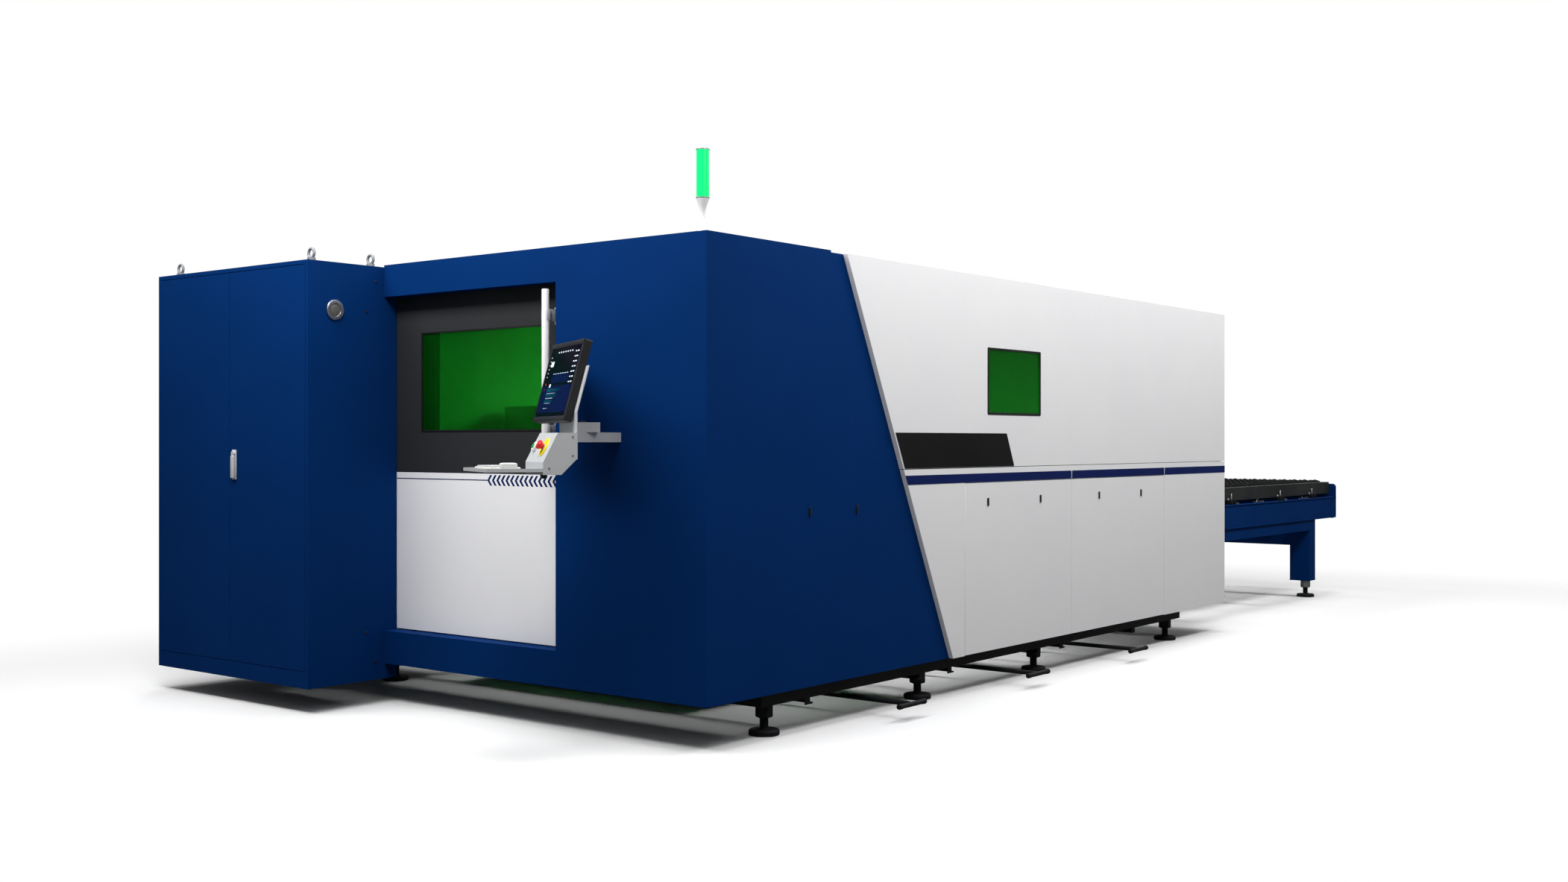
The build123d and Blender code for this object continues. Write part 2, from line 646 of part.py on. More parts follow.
def side_panel_lower():
    """Fixed lower side panels in front of and behind the access doors, and the band above them."""
    top = STRIPE_FOOT - SEAM / 2
    front = side_tray(slant_y, ACCESS_FRONT_Y - SEAM / 2, CASE_FLOOR, top)
    rear = side_tray(straight(ACCESS_REAR_Y + SEAM / 2), CASE_LENGTH, CASE_FLOOR, top)
    reach = SEAM + DOOR_PIN_DEPTH
    front += flap_pin(ACCESS_FRONT_Y + (reach - SEAM) / 2, reach)
    rear += flap_pin(ACCESS_REAR_Y - (reach - SEAM) / 2, reach)
    band = side_tray(slant_y, CASE_LENGTH, STRIPE_FOOT - SEAM / 2, SIDE_SEAM_Z - SEAM / 2)
    return [front, rear, band]


def side_stripe():
    """Blue trim strip along the band, in three lengths."""
    top = STRIPE_FOOT + STRIPE_HEIGHT
    x0, x1 = PANEL_FACE, PANEL_FACE + STRIPE_PROUD
    half = SEAM / 2
    joints = (ACCESS_MIDDLE_Y, ACCESS_REAR_Y)
    first = [
        (slant_y(STRIPE_FOOT), STRIPE_FOOT),
        (joints[0] - half, STRIPE_FOOT),
        (joints[0] - half, top),
        (slant_y(top), top),
    ]
    return [
        side_plate(first, x0, x1),
        block(x0, x1, joints[0] + half, joints[1] - half, STRIPE_FOOT, top),
        block(x0, x1, joints[1] + half, CASE_LENGTH, STRIPE_FOOT, top),
    ]


def side_plate_badge():
    """Bare black plate with slanted ends on the upper side panel."""
    outline = [
        (slant_y(PLATE_FOOT) + PLATE_FRONT_GAP, PLATE_FOOT),
        (PLATE_REAR_FOOT_Y, PLATE_FOOT),
        (PLATE_REAR_TOP_Y, PLATE_TOP),
        (slant_y(PLATE_TOP) + PLATE_FRONT_GAP, PLATE_TOP),
    ]
    return [side_plate(outline, PANEL_FACE, PANEL_FACE + PLATE_PROUD)]


def left_panels():
    """White panels of the left side, above and below the seam, with the spigot's hole."""
    last = SPIGOT_Y - SPIGOT_PANEL_GAP
    joints = (FRONT_MODULE_LENGTH, ACCESS_FRONT_Y, ACCESS_MIDDLE_Y, last, CASE_LENGTH)
    half = SEAM / 2
    panels = []
    for y0, y1 in zip(joints, joints[1:]):
        front = y0 if y0 == joints[0] else y0 + half
        rear = y1 if y1 == joints[-1] else y1 - half
        panels.append(mirrored(side_tray(straight(front), rear, SIDE_SEAM_Z + half, CASE_TOP)))
        lower = mirrored(side_tray(straight(front), rear, CASE_FLOOR, SIDE_SEAM_Z - half))
        if y1 == joints[-1]:
            lower -= bar("X", CASE_LEFT, SPIGOT_Y, SPIGOT_Z, SPIGOT_RADIUS + SHAFT_FIT, 4 * PANEL_DEPTH)
        panels.append(lower)
    return panels


def left_bay_cover():
    """Blue cover of the bay behind the cabinet, which takes the open door and the laser source."""
    y0, y1 = CABINET_REAR, FRONT_MODULE_LENGTH
    right = 2 * BED_CENTRE - FRAME_FACE
    side = block(CABINET_LEFT, CABINET_LEFT + SHEET, y0, y1, CASE_FLOOR, CASE_TOP)
    rear = block(CABINET_LEFT, right, y1 - SHEET, y1, CASE_FLOOR, CASE_TOP)
    roof = block(CABINET_LEFT, CABINET_RIGHT, y0, y1, CASE_TOP - SHEET, CASE_TOP)
    floor = block(CABINET_LEFT, right, y0, y1, CASE_FLOOR, CASE_FLOOR + SHEET)
    return [side + rear + roof + floor]


def roof_panels():
    """Three roof panels."""
    left, right = 2 * BED_CENTRE - FRAME_FACE, FRAME_FACE
    joints = (FRONT_MODULE_LENGTH, ACCESS_MIDDLE_Y - FRONT_MODULE_LENGTH, ACCESS_REAR_Y, CASE_LENGTH)
    half = SEAM / 2
    panels = []
    for y0, y1 in zip(joints, joints[1:]):
        front = y0 if y0 == joints[0] else y0 + half
        rear = y1 if y1 == joints[-1] else y1 - half
        panels.append(flat_tray(left, right, front, rear, CASE_TOP - PANEL_DEPTH, CASE_TOP, "-Z"))
    return panels


def rear_wall():
    """Rear panel with the pallet opening, and the guides of its lifting door."""
    left, right = 2 * BED_CENTRE - FRAME_FACE, FRAME_FACE
    top = CASE_TOP - PANEL_DEPTH
    y0 = CASE_LENGTH - PANEL_DEPTH
    wall = flat_tray(left, right, y0, CASE_LENGTH, CASE_FLOOR, top, "-Y")
    x0, x1 = rear_opening_limits()
    wall -= block(x0, x1, y0 - SHEET, CASE_LENGTH + SHEET, REAR_OPENING_FOOT, REAR_OPENING_TOP)
    z0, z1 = TABLE_BEAM_TOP + SEAM, REAR_OPENING_TOP + REAR_DOOR_TRAVEL
    y1 = CASE_LENGTH + REAR_DOOR_SHEET + 2 * SEAM
    for edge, side in ((x1 + REAR_DOOR_LAP + FIT, 1), (x0 - REAR_DOOR_LAP - FIT, -1)):
        far = edge + side * (REAR_GUIDE_WIDTH - REAR_DOOR_LAP)
        near = edge - side * REAR_DOOR_LAP
        wall += block(min(edge, far), max(edge, far), CASE_LENGTH, y1, z0, z1)
        wall += block(min(near, far), max(near, far), y1, y1 + SHEET, z0, z1)
    return [wall]


def rear_opening_limits():
    """Left and right edges of the pallet opening."""
    return 2 * BED_CENTRE + REAR_OPENING_INSET, -REAR_OPENING_INSET


def rear_door():
    """Lifting door of the pallet opening, shown raised."""
    x0, x1 = rear_opening_limits()
    y0 = CASE_LENGTH + FIT
    z0 = REAR_OPENING_TOP + 2 * SEAM
    height = REAR_OPENING_TOP - REAR_OPENING_FOOT
    return [block(x0 - REAR_DOOR_LAP, x1 + REAR_DOOR_LAP, y0, y0 + REAR_DOOR_SHEET, z0, z0 + height)]


def exhaust_duct():
    """Fume extraction spigot with its flange on the left side."""
    face = CASE_LEFT - PANEL_DEPTH
    inner = 2 * BED_CENTRE - FRAME_FACE
    left = face - SPIGOT_REACH
    middle, length = (left + inner) / 2, inner - left
    tube = bar("X", middle, SPIGOT_Y, SPIGOT_Z, SPIGOT_RADIUS, length)
    flange_x = face - SPIGOT_FLANGE / 2
    tube += bar("X", flange_x, SPIGOT_Y, SPIGOT_Z, SPIGOT_FLANGE_RADIUS, SPIGOT_FLANGE)
    return [tube - bar("X", middle, SPIGOT_Y, SPIGOT_Z, SPIGOT_RADIUS - SPIGOT_WALL, length + 2)]


# Electrical cabinet


def cabinet_door_limits():
    """Left, right, bottom and top of the cabinet's doorway."""
    return (
        CABINET_LEFT + CABINET_BORDER,
        CABINET_RIGHT - CABINET_BORDER,
        CABINET_FLOOR + CABINET_PLINTH,
        CASE_TOP - CABINET_BORDER,
    )


def cabinet_shell():
    """Cabinet body: five walls and a border round the two doors."""
    t = CABINET_SHEET
    shell = block(CABINET_LEFT, CABINET_RIGHT, CABINET_FRONT, CABINET_REAR, CABINET_FLOOR, CASE_TOP)
    inner_front = CABINET_FRONT + CABINET_DOOR_DEPTH + SEAM
    x0, x1 = CABINET_LEFT + t, CABINET_RIGHT - t
    shell -= block(x0, x1, inner_front, CABINET_REAR - t, CABINET_FLOOR + t, CASE_TOP - t)
    x0, x1, z0, z1 = cabinet_door_limits()
    shell -= block(x0, x1, CABINET_FRONT - 1, inner_front + 1, z0, z1)
    length = SEAM + DOOR_PIN_DEPTH
    for x, y in door_pin_axes():
        for z in (z0 + length / 2, z1 - length / 2):
            shell += bar("Z", x, y, z, DOOR_PIN_RADIUS, length)
    return [shell]


def cabinet_plate():
    """Mounting plate on the cabinet's rear wall with rows of drive modules."""
    x0, x1 = CABINET_LEFT + PLATE_MARGIN, CABINET_RIGHT - PLATE_MARGIN
    z0, z1 = CABINET_FLOOR + 2 * PLATE_MARGIN, CASE_TOP - PLATE_MARGIN
    rear = CABINET_REAR - CABINET_SHEET
    face = rear - PLATE_SETBACK
    plate = block(x0, x1, face, rear, z0, z1)
    column = (x1 - x0) / MODULE_COUNT
    row = (z1 - z0) / MODULE_ROWS
    for i in range(MODULE_COUNT):
        for j in range(MODULE_ROWS):
            x = x0 + column * (i + 0.5)
            z = z0 + row * (j + 0.5)
            half_w, half_h = MODULE_WIDTH / 2, MODULE_HEIGHT / 2
            plate += block(x - half_w, x + half_w, face - MODULE_DEPTH, face, z - half_h, z + half_h)
    return [plate]


def door_pin_axes():
    """Points (x, y) of the pivot pins of the left and the right cabinet door."""
    x0, x1, _, _ = cabinet_door_limits()
    inset = SEAM + DOOR_PIN_INSET
    y = CABINET_FRONT + DOOR_PIN_INSET
    return (x0 + inset, y), (x1 - inset, y)


def cabinet_door(left, right, pin):
    """Folded cabinet door between two x limits, with the holes of its pivot pins."""
    _, _, z0, z1 = cabinet_door_limits()
    y0 = CABINET_FRONT
    door = flat_tray(left, right, y0, y0 + CABINET_DOOR_DEPTH, z0 + SEAM, z1 - SEAM, "+Y")
    x, y = pin
    for z in (z0 + SEAM, z1 - SEAM):
        door -= bar("Z", x, y, z, DOOR_PIN_RADIUS + SHAFT_FIT, 2 * SHEET)
    return door


def cabinet_centre():
    """X of the meeting line of the two cabinet doors."""
    return (CABINET_LEFT + CABINET_RIGHT) / 2


def cabinet_door_left():
    """Left cabinet door."""
    x0, _, _, _ = cabinet_door_limits()
    return [cabinet_door(x0 + SEAM, cabinet_centre() - SEAM / 2, door_pin_axes()[0])]


def cabinet_door_right():
    """Right cabinet door, with the hole of the swing handle's shaft."""
    _, x1, _, _ = cabinet_door_limits()
    door = cabinet_door(cabinet_centre() + SEAM / 2, x1 - SEAM, door_pin_axes()[1])
    hole = bar("Y", *swing_handle_axis(), SWING_SHAFT_RADIUS + SHAFT_FIT, 4 * SHEET)
    return [door - hole]


def swing_handle_axis():
    """Point where the swing handle's shaft passes the door's face."""
    return cabinet_centre() + SWING_HANDLE_OFFSET, CABINET_FRONT, SWING_HANDLE_Z


def cabinet_handle():
    """Swing handle: a flat lever on a short shaft."""
    x, y, z = swing_handle_axis()
    w, h = SWING_HANDLE_WIDTH / 2, SWING_HANDLE_HEIGHT / 2
    lever = block(x - w, x + w, y - FIT - SWING_HANDLE_DEPTH, y - FIT, z - h, z + h)
    lever = fillet(lever.edges().filter_by(Axis.Y), SWING_HANDLE_DEPTH / 3)
    shaft_length = FIT + SHEET + 2 * SEAM
    shaft = bar("Y", x, y - FIT + shaft_length / 2, z, SWING_SHAFT_RADIUS, shaft_length)
    return [lever + shaft]


def cabinet_port():
    """Round ringed port on the cabinet's right side."""
    disc = bar("X", CABINET_RIGHT + PORT_DEPTH / 2, PORT_Y, PORT_Z, PORT_RADIUS, PORT_DEPTH)
    outer_edge = disc.edges().filter_by(GeomType.CIRCLE).sort_by(Axis.X)[-1]
    disc = fillet(outer_edge, PORT_DEPTH / 3)
    dish = bar("X", CABINET_RIGHT + PORT_DEPTH, PORT_Y, PORT_Z, PORT_RADIUS * 2 / 3, PORT_DEPTH)
    return [disc - dish]


def eye_bolts():
    """Lifting eyes near the cabinet's four corners."""
    eyes = []
    for x in (CABINET_LEFT + 4 * EYE_INSET_X, CABINET_RIGHT - EYE_INSET_X):
        for y in (CABINET_FRONT + EYE_INSET_Y, CABINET_REAR - 3 * EYE_INSET_Y):
            eye = bar("Z", x, y, CASE_TOP + EYE_COLLAR_HEIGHT / 2, EYE_COLLAR_RADIUS, EYE_COLLAR_HEIGHT)
            ring_z = CASE_TOP + EYE_COLLAR_HEIGHT + EYE_RING_RADIUS
            eye += Pos(x, y, ring_z) * Rot(90, 0, 0) * Torus(EYE_RING_RADIUS, EYE_BAR_RADIUS)
            eyes.append(eye)
    return eyes


def laser_source():
    """Laser source cabinet standing in the left bay."""
    x0 = CABINET_LEFT + SHEET + SOURCE_INSET
    x1 = CASE_LEFT - FRAME_FACE - SOURCE_INSET
    y1 = FRONT_MODULE_LENGTH - SHEET - SOURCE_INSET
    z0 = CASE_FLOOR + SHEET
    body = block(x0, x1, y1 - SOURCE_LENGTH, y1, z0, z0 + SOURCE_HEIGHT)
    return [chamfer(body.edges().filter_by(Axis.Z), SHEET * 3)]


# Front door


def door_panel():
    """Dark door frame with the window opening, its lower face set back for the white panel."""
    upper = flat_tray(DOOR_LEFT, DOOR_RIGHT, DOOR_FRONT, DOOR_REAR, DOOR_SPLIT, DOOR_TOP, "+Y")
    lower_front = DOOR_FRONT + SHEET
    lower = flat_tray(DOOR_LEFT, DOOR_RIGHT, lower_front, DOOR_REAR, DOOR_FOOT, DOOR_SPLIT, "+Y")
    door = upper + lower
    x0, x1, z0, z1 = door_window_limits(0)
    door -= block(x0, x1, DOOR_FRONT - SHEET, DOOR_FRONT + 2 * SHEET, z0, z1)
    slot = TRACK_FIN / 2 + FIT
    slot_y0, slot_y1 = DOOR_MIDDLE - slot, DOOR_MIDDLE + slot
    door -= block(DOOR_LEFT - 1, DOOR_RIGHT + 1, slot_y0, slot_y1, DOOR_FOOT - 1, DOOR_FOOT + 2 * SHEET)
    height = TRACK_FIN_HEIGHT - SEAM
    for x in (DOOR_LEFT + HANGER_INSET, DOOR_RIGHT - HANGER_INSET):
        half = HANGER_LENGTH / 2
        wide = HANGER_WIDTH / 2
        hanger = block(
            x - half, x + half, DOOR_MIDDLE - wide, DOOR_MIDDLE + wide, DOOR_TOP, DOOR_TOP + height
        )
        hanger -= block(x - half - 1, x + half + 1, slot_y0, slot_y1, DOOR_TOP + SEAM, CASE_TOP)
        door += hanger
    return [door]


def door_window_limits(margin):
    """Left, right, bottom and top of the door window, grown by a margin."""
    return (
        DOOR_WINDOW_LEFT - margin,
        DOOR_WINDOW_LEFT + DOOR_WINDOW_WIDTH + margin,
        DOOR_WINDOW_FOOT - margin,
        DOOR_WINDOW_FOOT + DOOR_WINDOW_HEIGHT + margin,
    )


def door_window():
    """Laser-safe window pane behind the door's face."""
    x0, x1, z0, z1 = door_window_limits(WINDOW_MARGIN)
    y0 = DOOR_FRONT + SHEET
    return [block(x0, x1, y0, y0 + GLASS, z0, z1)]


def door_lower_panel():
    """White sheet on the lower part of the door."""
    return [block(DOOR_LEFT, DOOR_RIGHT, DOOR_FRONT, DOOR_FRONT + SHEET, DOOR_FOOT, DOOR_SPLIT)]


def door_handle():
    """Long upright tube handle on two square posts."""
    y = DOOR_FRONT - HANDLE_STANDOFF
    z = HANDLE_FOOT + HANDLE_LENGTH / 2
    handle = bar("Z", HANDLE_X, y, z, HANDLE_RADIUS, HANDLE_LENGTH)
    x0, x1 = HANDLE_X - HANDLE_POST_WIDTH / 2, HANDLE_X + HANDLE_POST_WIDTH / 2
    for end in (HANDLE_FOOT + HANDLE_END_SETBACK, HANDLE_FOOT + HANDLE_LENGTH - HANDLE_END_SETBACK):
        handle += block(x0, x1, y, DOOR_FRONT, end - HANDLE_POST_HEIGHT / 2, end + HANDLE_POST_HEIGHT / 2)
    return [handle]


# Access doors and latches


def flap_hinge():
    """Point (x, z) of the hinge line of the two access doors."""
    return PANEL_FACE - DOOR_PIN_INSET, CASE_FLOOR + SEAM + DOOR_PIN_INSET


def flap_pin(y, length, play=0.0):
    """Hinge pin of an access door centred at y, or with some play its hole."""
    x, z = flap_hinge()
    return bar("Y", x, y, z, DOOR_PIN_RADIUS + play, length)


def access_door(y0, y1, latches):
    """Bottom-hinged lower side door with its latch holes and hinge holes."""
    half = SEAM / 2
    foot, top = CASE_FLOOR + SEAM, STRIPE_FOOT - SEAM - half
    door = side_tray(straight(y0 + half), y1 - half, foot, top, FRAME_FACE + FIT)
    for y in latches:
        door -= bar("X", PANEL_FACE, y, LATCH_Z, LATCH_SHAFT_RADIUS + SHAFT_FIT, 4 * SHEET)
    for y in (y0 + half, y1 - half):
        door -= flap_pin(y, 2 * SHEET, SHAFT_FIT)
    return [door]


def latch_pair(first):
    """The two latch stations of an access door."""
    return first, first + LATCH_SPACING


def cover_latch_stations():
    """The two latch stations of the blue cover."""
    return COVER_LATCH_Y, COVER_LATCH_Y + COVER_LATCH_SPACING


def latch(face, y):
    """Quarter-turn latch: an upright grip outside, a shaft through the sheet and a cam inside."""
    w, h, c = LATCH_WIDTH / 2, LATCH_HEIGHT / 2, LATCH_CAM_LENGTH / 2
    grip = block(face + FIT, face + FIT + LATCH_PROUD, y - w, y + w, LATCH_Z - h, LATCH_Z + h)
    grip = fillet(grip.edges().filter_by(Axis.X), LATCH_WIDTH * 0.45)
    shaft_length = FIT + SHEET + 2 * SEAM
    shaft = bar("X", face + FIT - shaft_length / 2, y, LATCH_Z, LATCH_SHAFT_RADIUS, shaft_length)
    cam_face = face - SHEET - SEAM
    cam = block(cam_face - SEAM, cam_face, y - w, y + w, LATCH_Z - c, LATCH_Z + c)
    return [grip + shaft + cam]


# Scrap drawers


def scrap_drawer(y):
    """Scrap drawer: a tray with two sliding lips and a T-shaped pull."""
    t = DRAWER_WALL
    x0, x1 = DRAWER_RIGHT - DRAWER_LENGTH, DRAWER_RIGHT
    y0, y1 = y - DRAWER_WIDTH / 2, y + DRAWER_WIDTH / 2
    z0, z1 = DRAWER_FOOT, DRAWER_FOOT + DRAWER_HEIGHT
    tray = block(x0, x1, y0, y1, z0, z1) - block(x0 + t, x1 - t, y0 + t, y1 - t, z0 + t, z1 + 1)
    tray += block(x0, x1, y0 - RUNNER_LIP, y0, z1 - t, z1)
    tray += block(x0, x1, y1, y1 + RUNNER_LIP, z1 - t, z1)
    pull_x = PULL_REACH
    tray += bar("X", (x1 + pull_x) / 2, y, PULL_Z, PULL_RADIUS, pull_x - x1)
    tray += bar("Y", pull_x, y, PULL_Z, PULL_RADIUS, PULL_LENGTH)
    return [tray]


# Gantry


def gantry_beam():
    """Gantry beam with its two end trucks, rail bearings and front rails."""
    y0, y1 = GANTRY_BEAM_FRONT, GANTRY_BEAM_FRONT + GANTRY_BEAM_LENGTH
    z0, z1 = GANTRY_BEAM_FOOT, GANTRY_BEAM_FOOT + GANTRY_BEAM_HEIGHT
    right = BEAM_OUTER - TRUCK_CLEARANCE
    inner = BEAM_INNER + TRUCK_CLEARANCE
    front = GANTRY_Y - TRUCK_FRONT
    rear = front + TRUCK_LENGTH
    members = [block(2 * BED_CENTRE - right, right, y0, y1, z0, z1)]
    members += both_sides(block(inner, right, front, rear, TRUCK_FOOT, z0))
    slot, wide = GUIDE_RAIL_WIDTH / 2 + FIT, BEARING_WIDTH / 2
    x = GANTRY_RAIL_X
    rail_top = UPPER_BEAM_TOP + GUIDE_RAIL_HEIGHT + FIT
    for a in (front, rear - BEARING_LENGTH):
        b = a + BEARING_LENGTH
        bearing = block(x - wide, x + wide, a, b, UPPER_BEAM_TOP + 2 * SEAM, TRUCK_FOOT)
        members += both_sides(bearing - block(x - slot, x + slot, a - 1, b + 1, 0, rail_top))
    rail_right = inner - TRUCK_CLEARANCE
    half = BEAM_RAIL / 2
    for z in beam_rail_levels():
        left = 2 * BED_CENTRE - rail_right
        members.append(block(left, rail_right, y0 - BEAM_RAIL, y0, z - half, z + half))
    return members


def beam_rail_levels():
    """Heights of the two rails on the gantry beam's face."""
    top = GANTRY_BEAM_FOOT + GANTRY_BEAM_HEIGHT
    return GANTRY_BEAM_FOOT + BEAM_RAIL_INSET, top - BEAM_RAIL_INSET


def gantry_drives():
    """Servo motor with its gearbox on each end truck."""
    rear = GANTRY_Y - TRUCK_FRONT + TRUCK_LENGTH - SEAM
    z0 = GANTRY_BEAM_FOOT
    half = DRIVE_SIDE / 2
    x, y = GANTRY_RAIL_X, rear - half
    drive = block(x - half, x + half, y - half, y + half, z0, z0 + DRIVE_SIDE)
    motor_z = z0 + DRIVE_SIDE + DRIVE_MOTOR_HEIGHT / 2
    drive += bar("Z", x, y, motor_z, DRIVE_MOTOR_RADIUS, DRIVE_MOTOR_HEIGHT)
    return both_sides(drive)


def carriage():
    """Carriage plate in front of the gantry beam, with four bearings on the beam's rails."""
    x0, x1 = BED_CENTRE - CARRIAGE_WIDTH / 2, BED_CENTRE + CARRIAGE_WIDTH / 2
    low, high = beam_rail_levels()
    rear = CARRIAGE_FRONT + CARRIAGE_PLATE
    members = [block(x0, x1, CARRIAGE_FRONT, rear, low - BEAM_RAIL_INSET, high + BEAM_RAIL_INSET)]
    slot = BEAM_RAIL / 2 + FIT
    y1 = GANTRY_BEAM_FRONT - SEAM
    rail_face = GANTRY_BEAM_FRONT - BEAM_RAIL - FIT
    for z in (low, high):
        for a in (x0, x1 - BEARING_WIDTH):
            b = a + BEARING_WIDTH
            bearing = block(a, b, rear, y1, z - BEAM_RAIL, z + BEAM_RAIL)
            members.append(bearing - block(a - 1, b + 1, rail_face, y1 + 1, z - slot, z + slot))
    return members


def z_slide():
    """Vertical slide with its cover, in front of the carriage."""
    half = Z_SLIDE_WIDTH / 2
    y1 = CARRIAGE_FRONT - FIT
    z1 = Z_SLIDE_FOOT + Z_SLIDE_HEIGHT
    slide = block(BED_CENTRE - half, BED_CENTRE + half, y1 - Z_SLIDE_DEPTH, y1, Z_SLIDE_FOOT, z1)
    slide = chamfer(slide.edges().filter_by(Axis.Z).group_by(Axis.Y)[0], Z_SLIDE_DEPTH / 4)
    return [slide]


def head_y():
    """Y of the cutting head's axis."""
    return CARRIAGE_FRONT - FIT - Z_SLIDE_DEPTH - HEAD_DEPTH / 2


def cutting_head():
    """Cutting head: body, barrel and conical nozzle."""
    x, y = BED_CENTRE, head_y()
    w, d = HEAD_WIDTH / 2, HEAD_DEPTH / 2
    head = block(x - w, x + w, y - d, y + d, HEAD_FOOT, HEAD_FOOT + HEAD_HEIGHT)
    barrel_z = HEAD_FOOT - HEAD_BARREL_LENGTH
    head += bar("Z", x, y, barrel_z + HEAD_BARREL_LENGTH / 2, HEAD_BARREL_RADIUS, HEAD_BARREL_LENGTH)
    nozzle = Cone(NOZZLE_TIP_RADIUS, NOZZLE_ROOT_RADIUS, NOZZLE_LENGTH)
    head += Pos(x, y, barrel_z - NOZZLE_LENGTH / 2) * nozzle
    return [head]


# Pallets


def pallet(y0, foot):
    """Pallet: a frame of side rails and cross bars, with toothed slats standing across it."""
    x0, x1 = 2 * BED_CENTRE + PALLET_LEFT_GAP, -PALLET_LEFT_GAP
    y1 = y0 + PALLET_LENGTH
    top = foot + PALLET_RAIL_HEIGHT
    a, b = x0 + PALLET_RAIL_WIDTH, x1 - PALLET_RAIL_WIDTH
    members = [block(x0, a, y0, y1, foot, top), block(b, x1, y0, y1, foot, top)]
    bar_top = top - SLAT_BODY
    step = (PALLET_LENGTH - PALLET_CROSS) / (PALLET_CROSS_COUNT - 1)
    for i in range(PALLET_CROSS_COUNT):
        y = y0 + step * i
        members.append(block(a, b, y, y + PALLET_CROSS, foot, bar_top))
    for y in (y0, y1 - SLAT_SHEET):
        members.append(block(a, b, y, y + SLAT_SHEET, bar_top, top))
    pitch = PALLET_LENGTH / SLAT_COUNT
    for i in range(SLAT_COUNT):
        y = y0 + pitch * (i + 0.5)
        members.append(slat(a, b, y - SLAT_SHEET / 2, y + SLAT_SHEET / 2, bar_top, top))
    return members


def slat(x0, x1, y0, y1, foot, rail_top):
    """One toothed slat between the side rails."""
    tips = rail_top + SLAT_RISE
    teeth = max(1, round((x1 - x0) / SLAT_TOOTH_PITCH))
    pitch = (x1 - x0) / teeth
    points = [(x0, foot), (x1, foot), (x1, tips - SLAT_TOOTH_DEPTH)]
    for i in reversed(range(teeth)):
        points.append((x0 + pitch * (i + 0.5), tips))
        points.append((x0 + pitch * i, tips - SLAT_TOOTH_DEPTH))
    return front_plate(points, y0, y1)


# Exchange table


def table_frame():
    """Blue table frame: side channels, sills below them, cross members and the rear legs."""
    outer = -TABLE_INSET
    inner = outer - TABLE_BEAM_WIDTH
    sill_outer = outer - TABLE_SILL_SETBACK
    y0, y1 = CASE_LENGTH, TABLE_REAR - TABLE_END_PLATE
    top, foot = TABLE_BEAM_TOP, TABLE_BEAM_TOP - TABLE_BEAM_HEIGHT
    sill_foot = foot - TABLE_SILL_HEIGHT
    leg_front, leg_rear = TABLE_LEG_Y, TABLE_LEG_Y + TABLE_LEG_LENGTH
    leg_inner = sill_outer - TABLE_LEG_WIDTH
    members = both_sides(block(inner, outer, y0, y1, foot, top))
    members += both_sides(block(inner, sill_outer, y0, leg_rear, sill_foot, foot))
    members += both_sides(block(leg_inner, sill_outer, leg_front, leg_rear, TABLE_LEG_FOOT, sill_foot))
    span = (y1 - TABLE_LEG_LENGTH - TABLE_INSET - y0) / 2
    for y in (y0 + TABLE_INSET, y0 + TABLE_INSET + span):
        members.append(block(2 * BED_CENTRE - inner, inner, y, y + TABLE_LEG_LENGTH, sill_foot, foot))
    cross_foot = sill_foot - TABLE_CROSS_HEIGHT
    left = 2 * BED_CENTRE - leg_inner
    members.append(block(left, leg_inner, leg_front, leg_rear, cross_foot, sill_foot))
    return members


def table_end_plate():
    """Rounded end plate across the table's far end."""
    x0, x1 = 2 * BED_CENTRE + TABLE_INSET, -TABLE_INSET
    plate = block(x0, x1, TABLE_REAR - TABLE_END_PLATE, TABLE_REAR, TABLE_END_FOOT, TABLE_END_TOP)
    return [fillet(plate.edges().filter_by(Axis.Y), TABLE_END_CORNER)]


def table_rollers():
    """Support rollers on stub axles, for both pallet levels."""
    inner = -TABLE_INSET - TABLE_BEAM_WIDTH
    roller_x = inner - (PALLET_LEFT_GAP + PALLET_RAIL_WIDTH / 2 + inner)
    rollers = []
    for i in range(ROLLER_COUNT):
        y = ROLLER_FIRST_Y + ROLLER_PITCH * i
        for foot in PALLET_FOOTS:
            z = foot - FIT - ROLLER_RADIUS
            roller = bar("X", roller_x, y, z, ROLLER_RADIUS, ROLLER_WIDTH)
            tip = roller_x - ROLLER_WIDTH / 2
            axle_radius = min(ROLLER_AXLE_RADIUS, ROLLER_RADIUS / 2)
            roller += bar("X", (tip + inner) / 2, y, z, axle_radius, inner - tip)
            bracket_top = max(z, TABLE_BEAM_TOP) + axle_radius
            if foot == UPPER_PALLET_FOOT:
                y0, y1 = y - ROLLER_RADIUS, y + ROLLER_RADIUS
                roller += block(inner - 2 * SEAM, inner, y0, y1, z - ROLLER_RADIUS, bracket_top)
            rollers += both_sides(roller)
    return rollers


# Signal tower


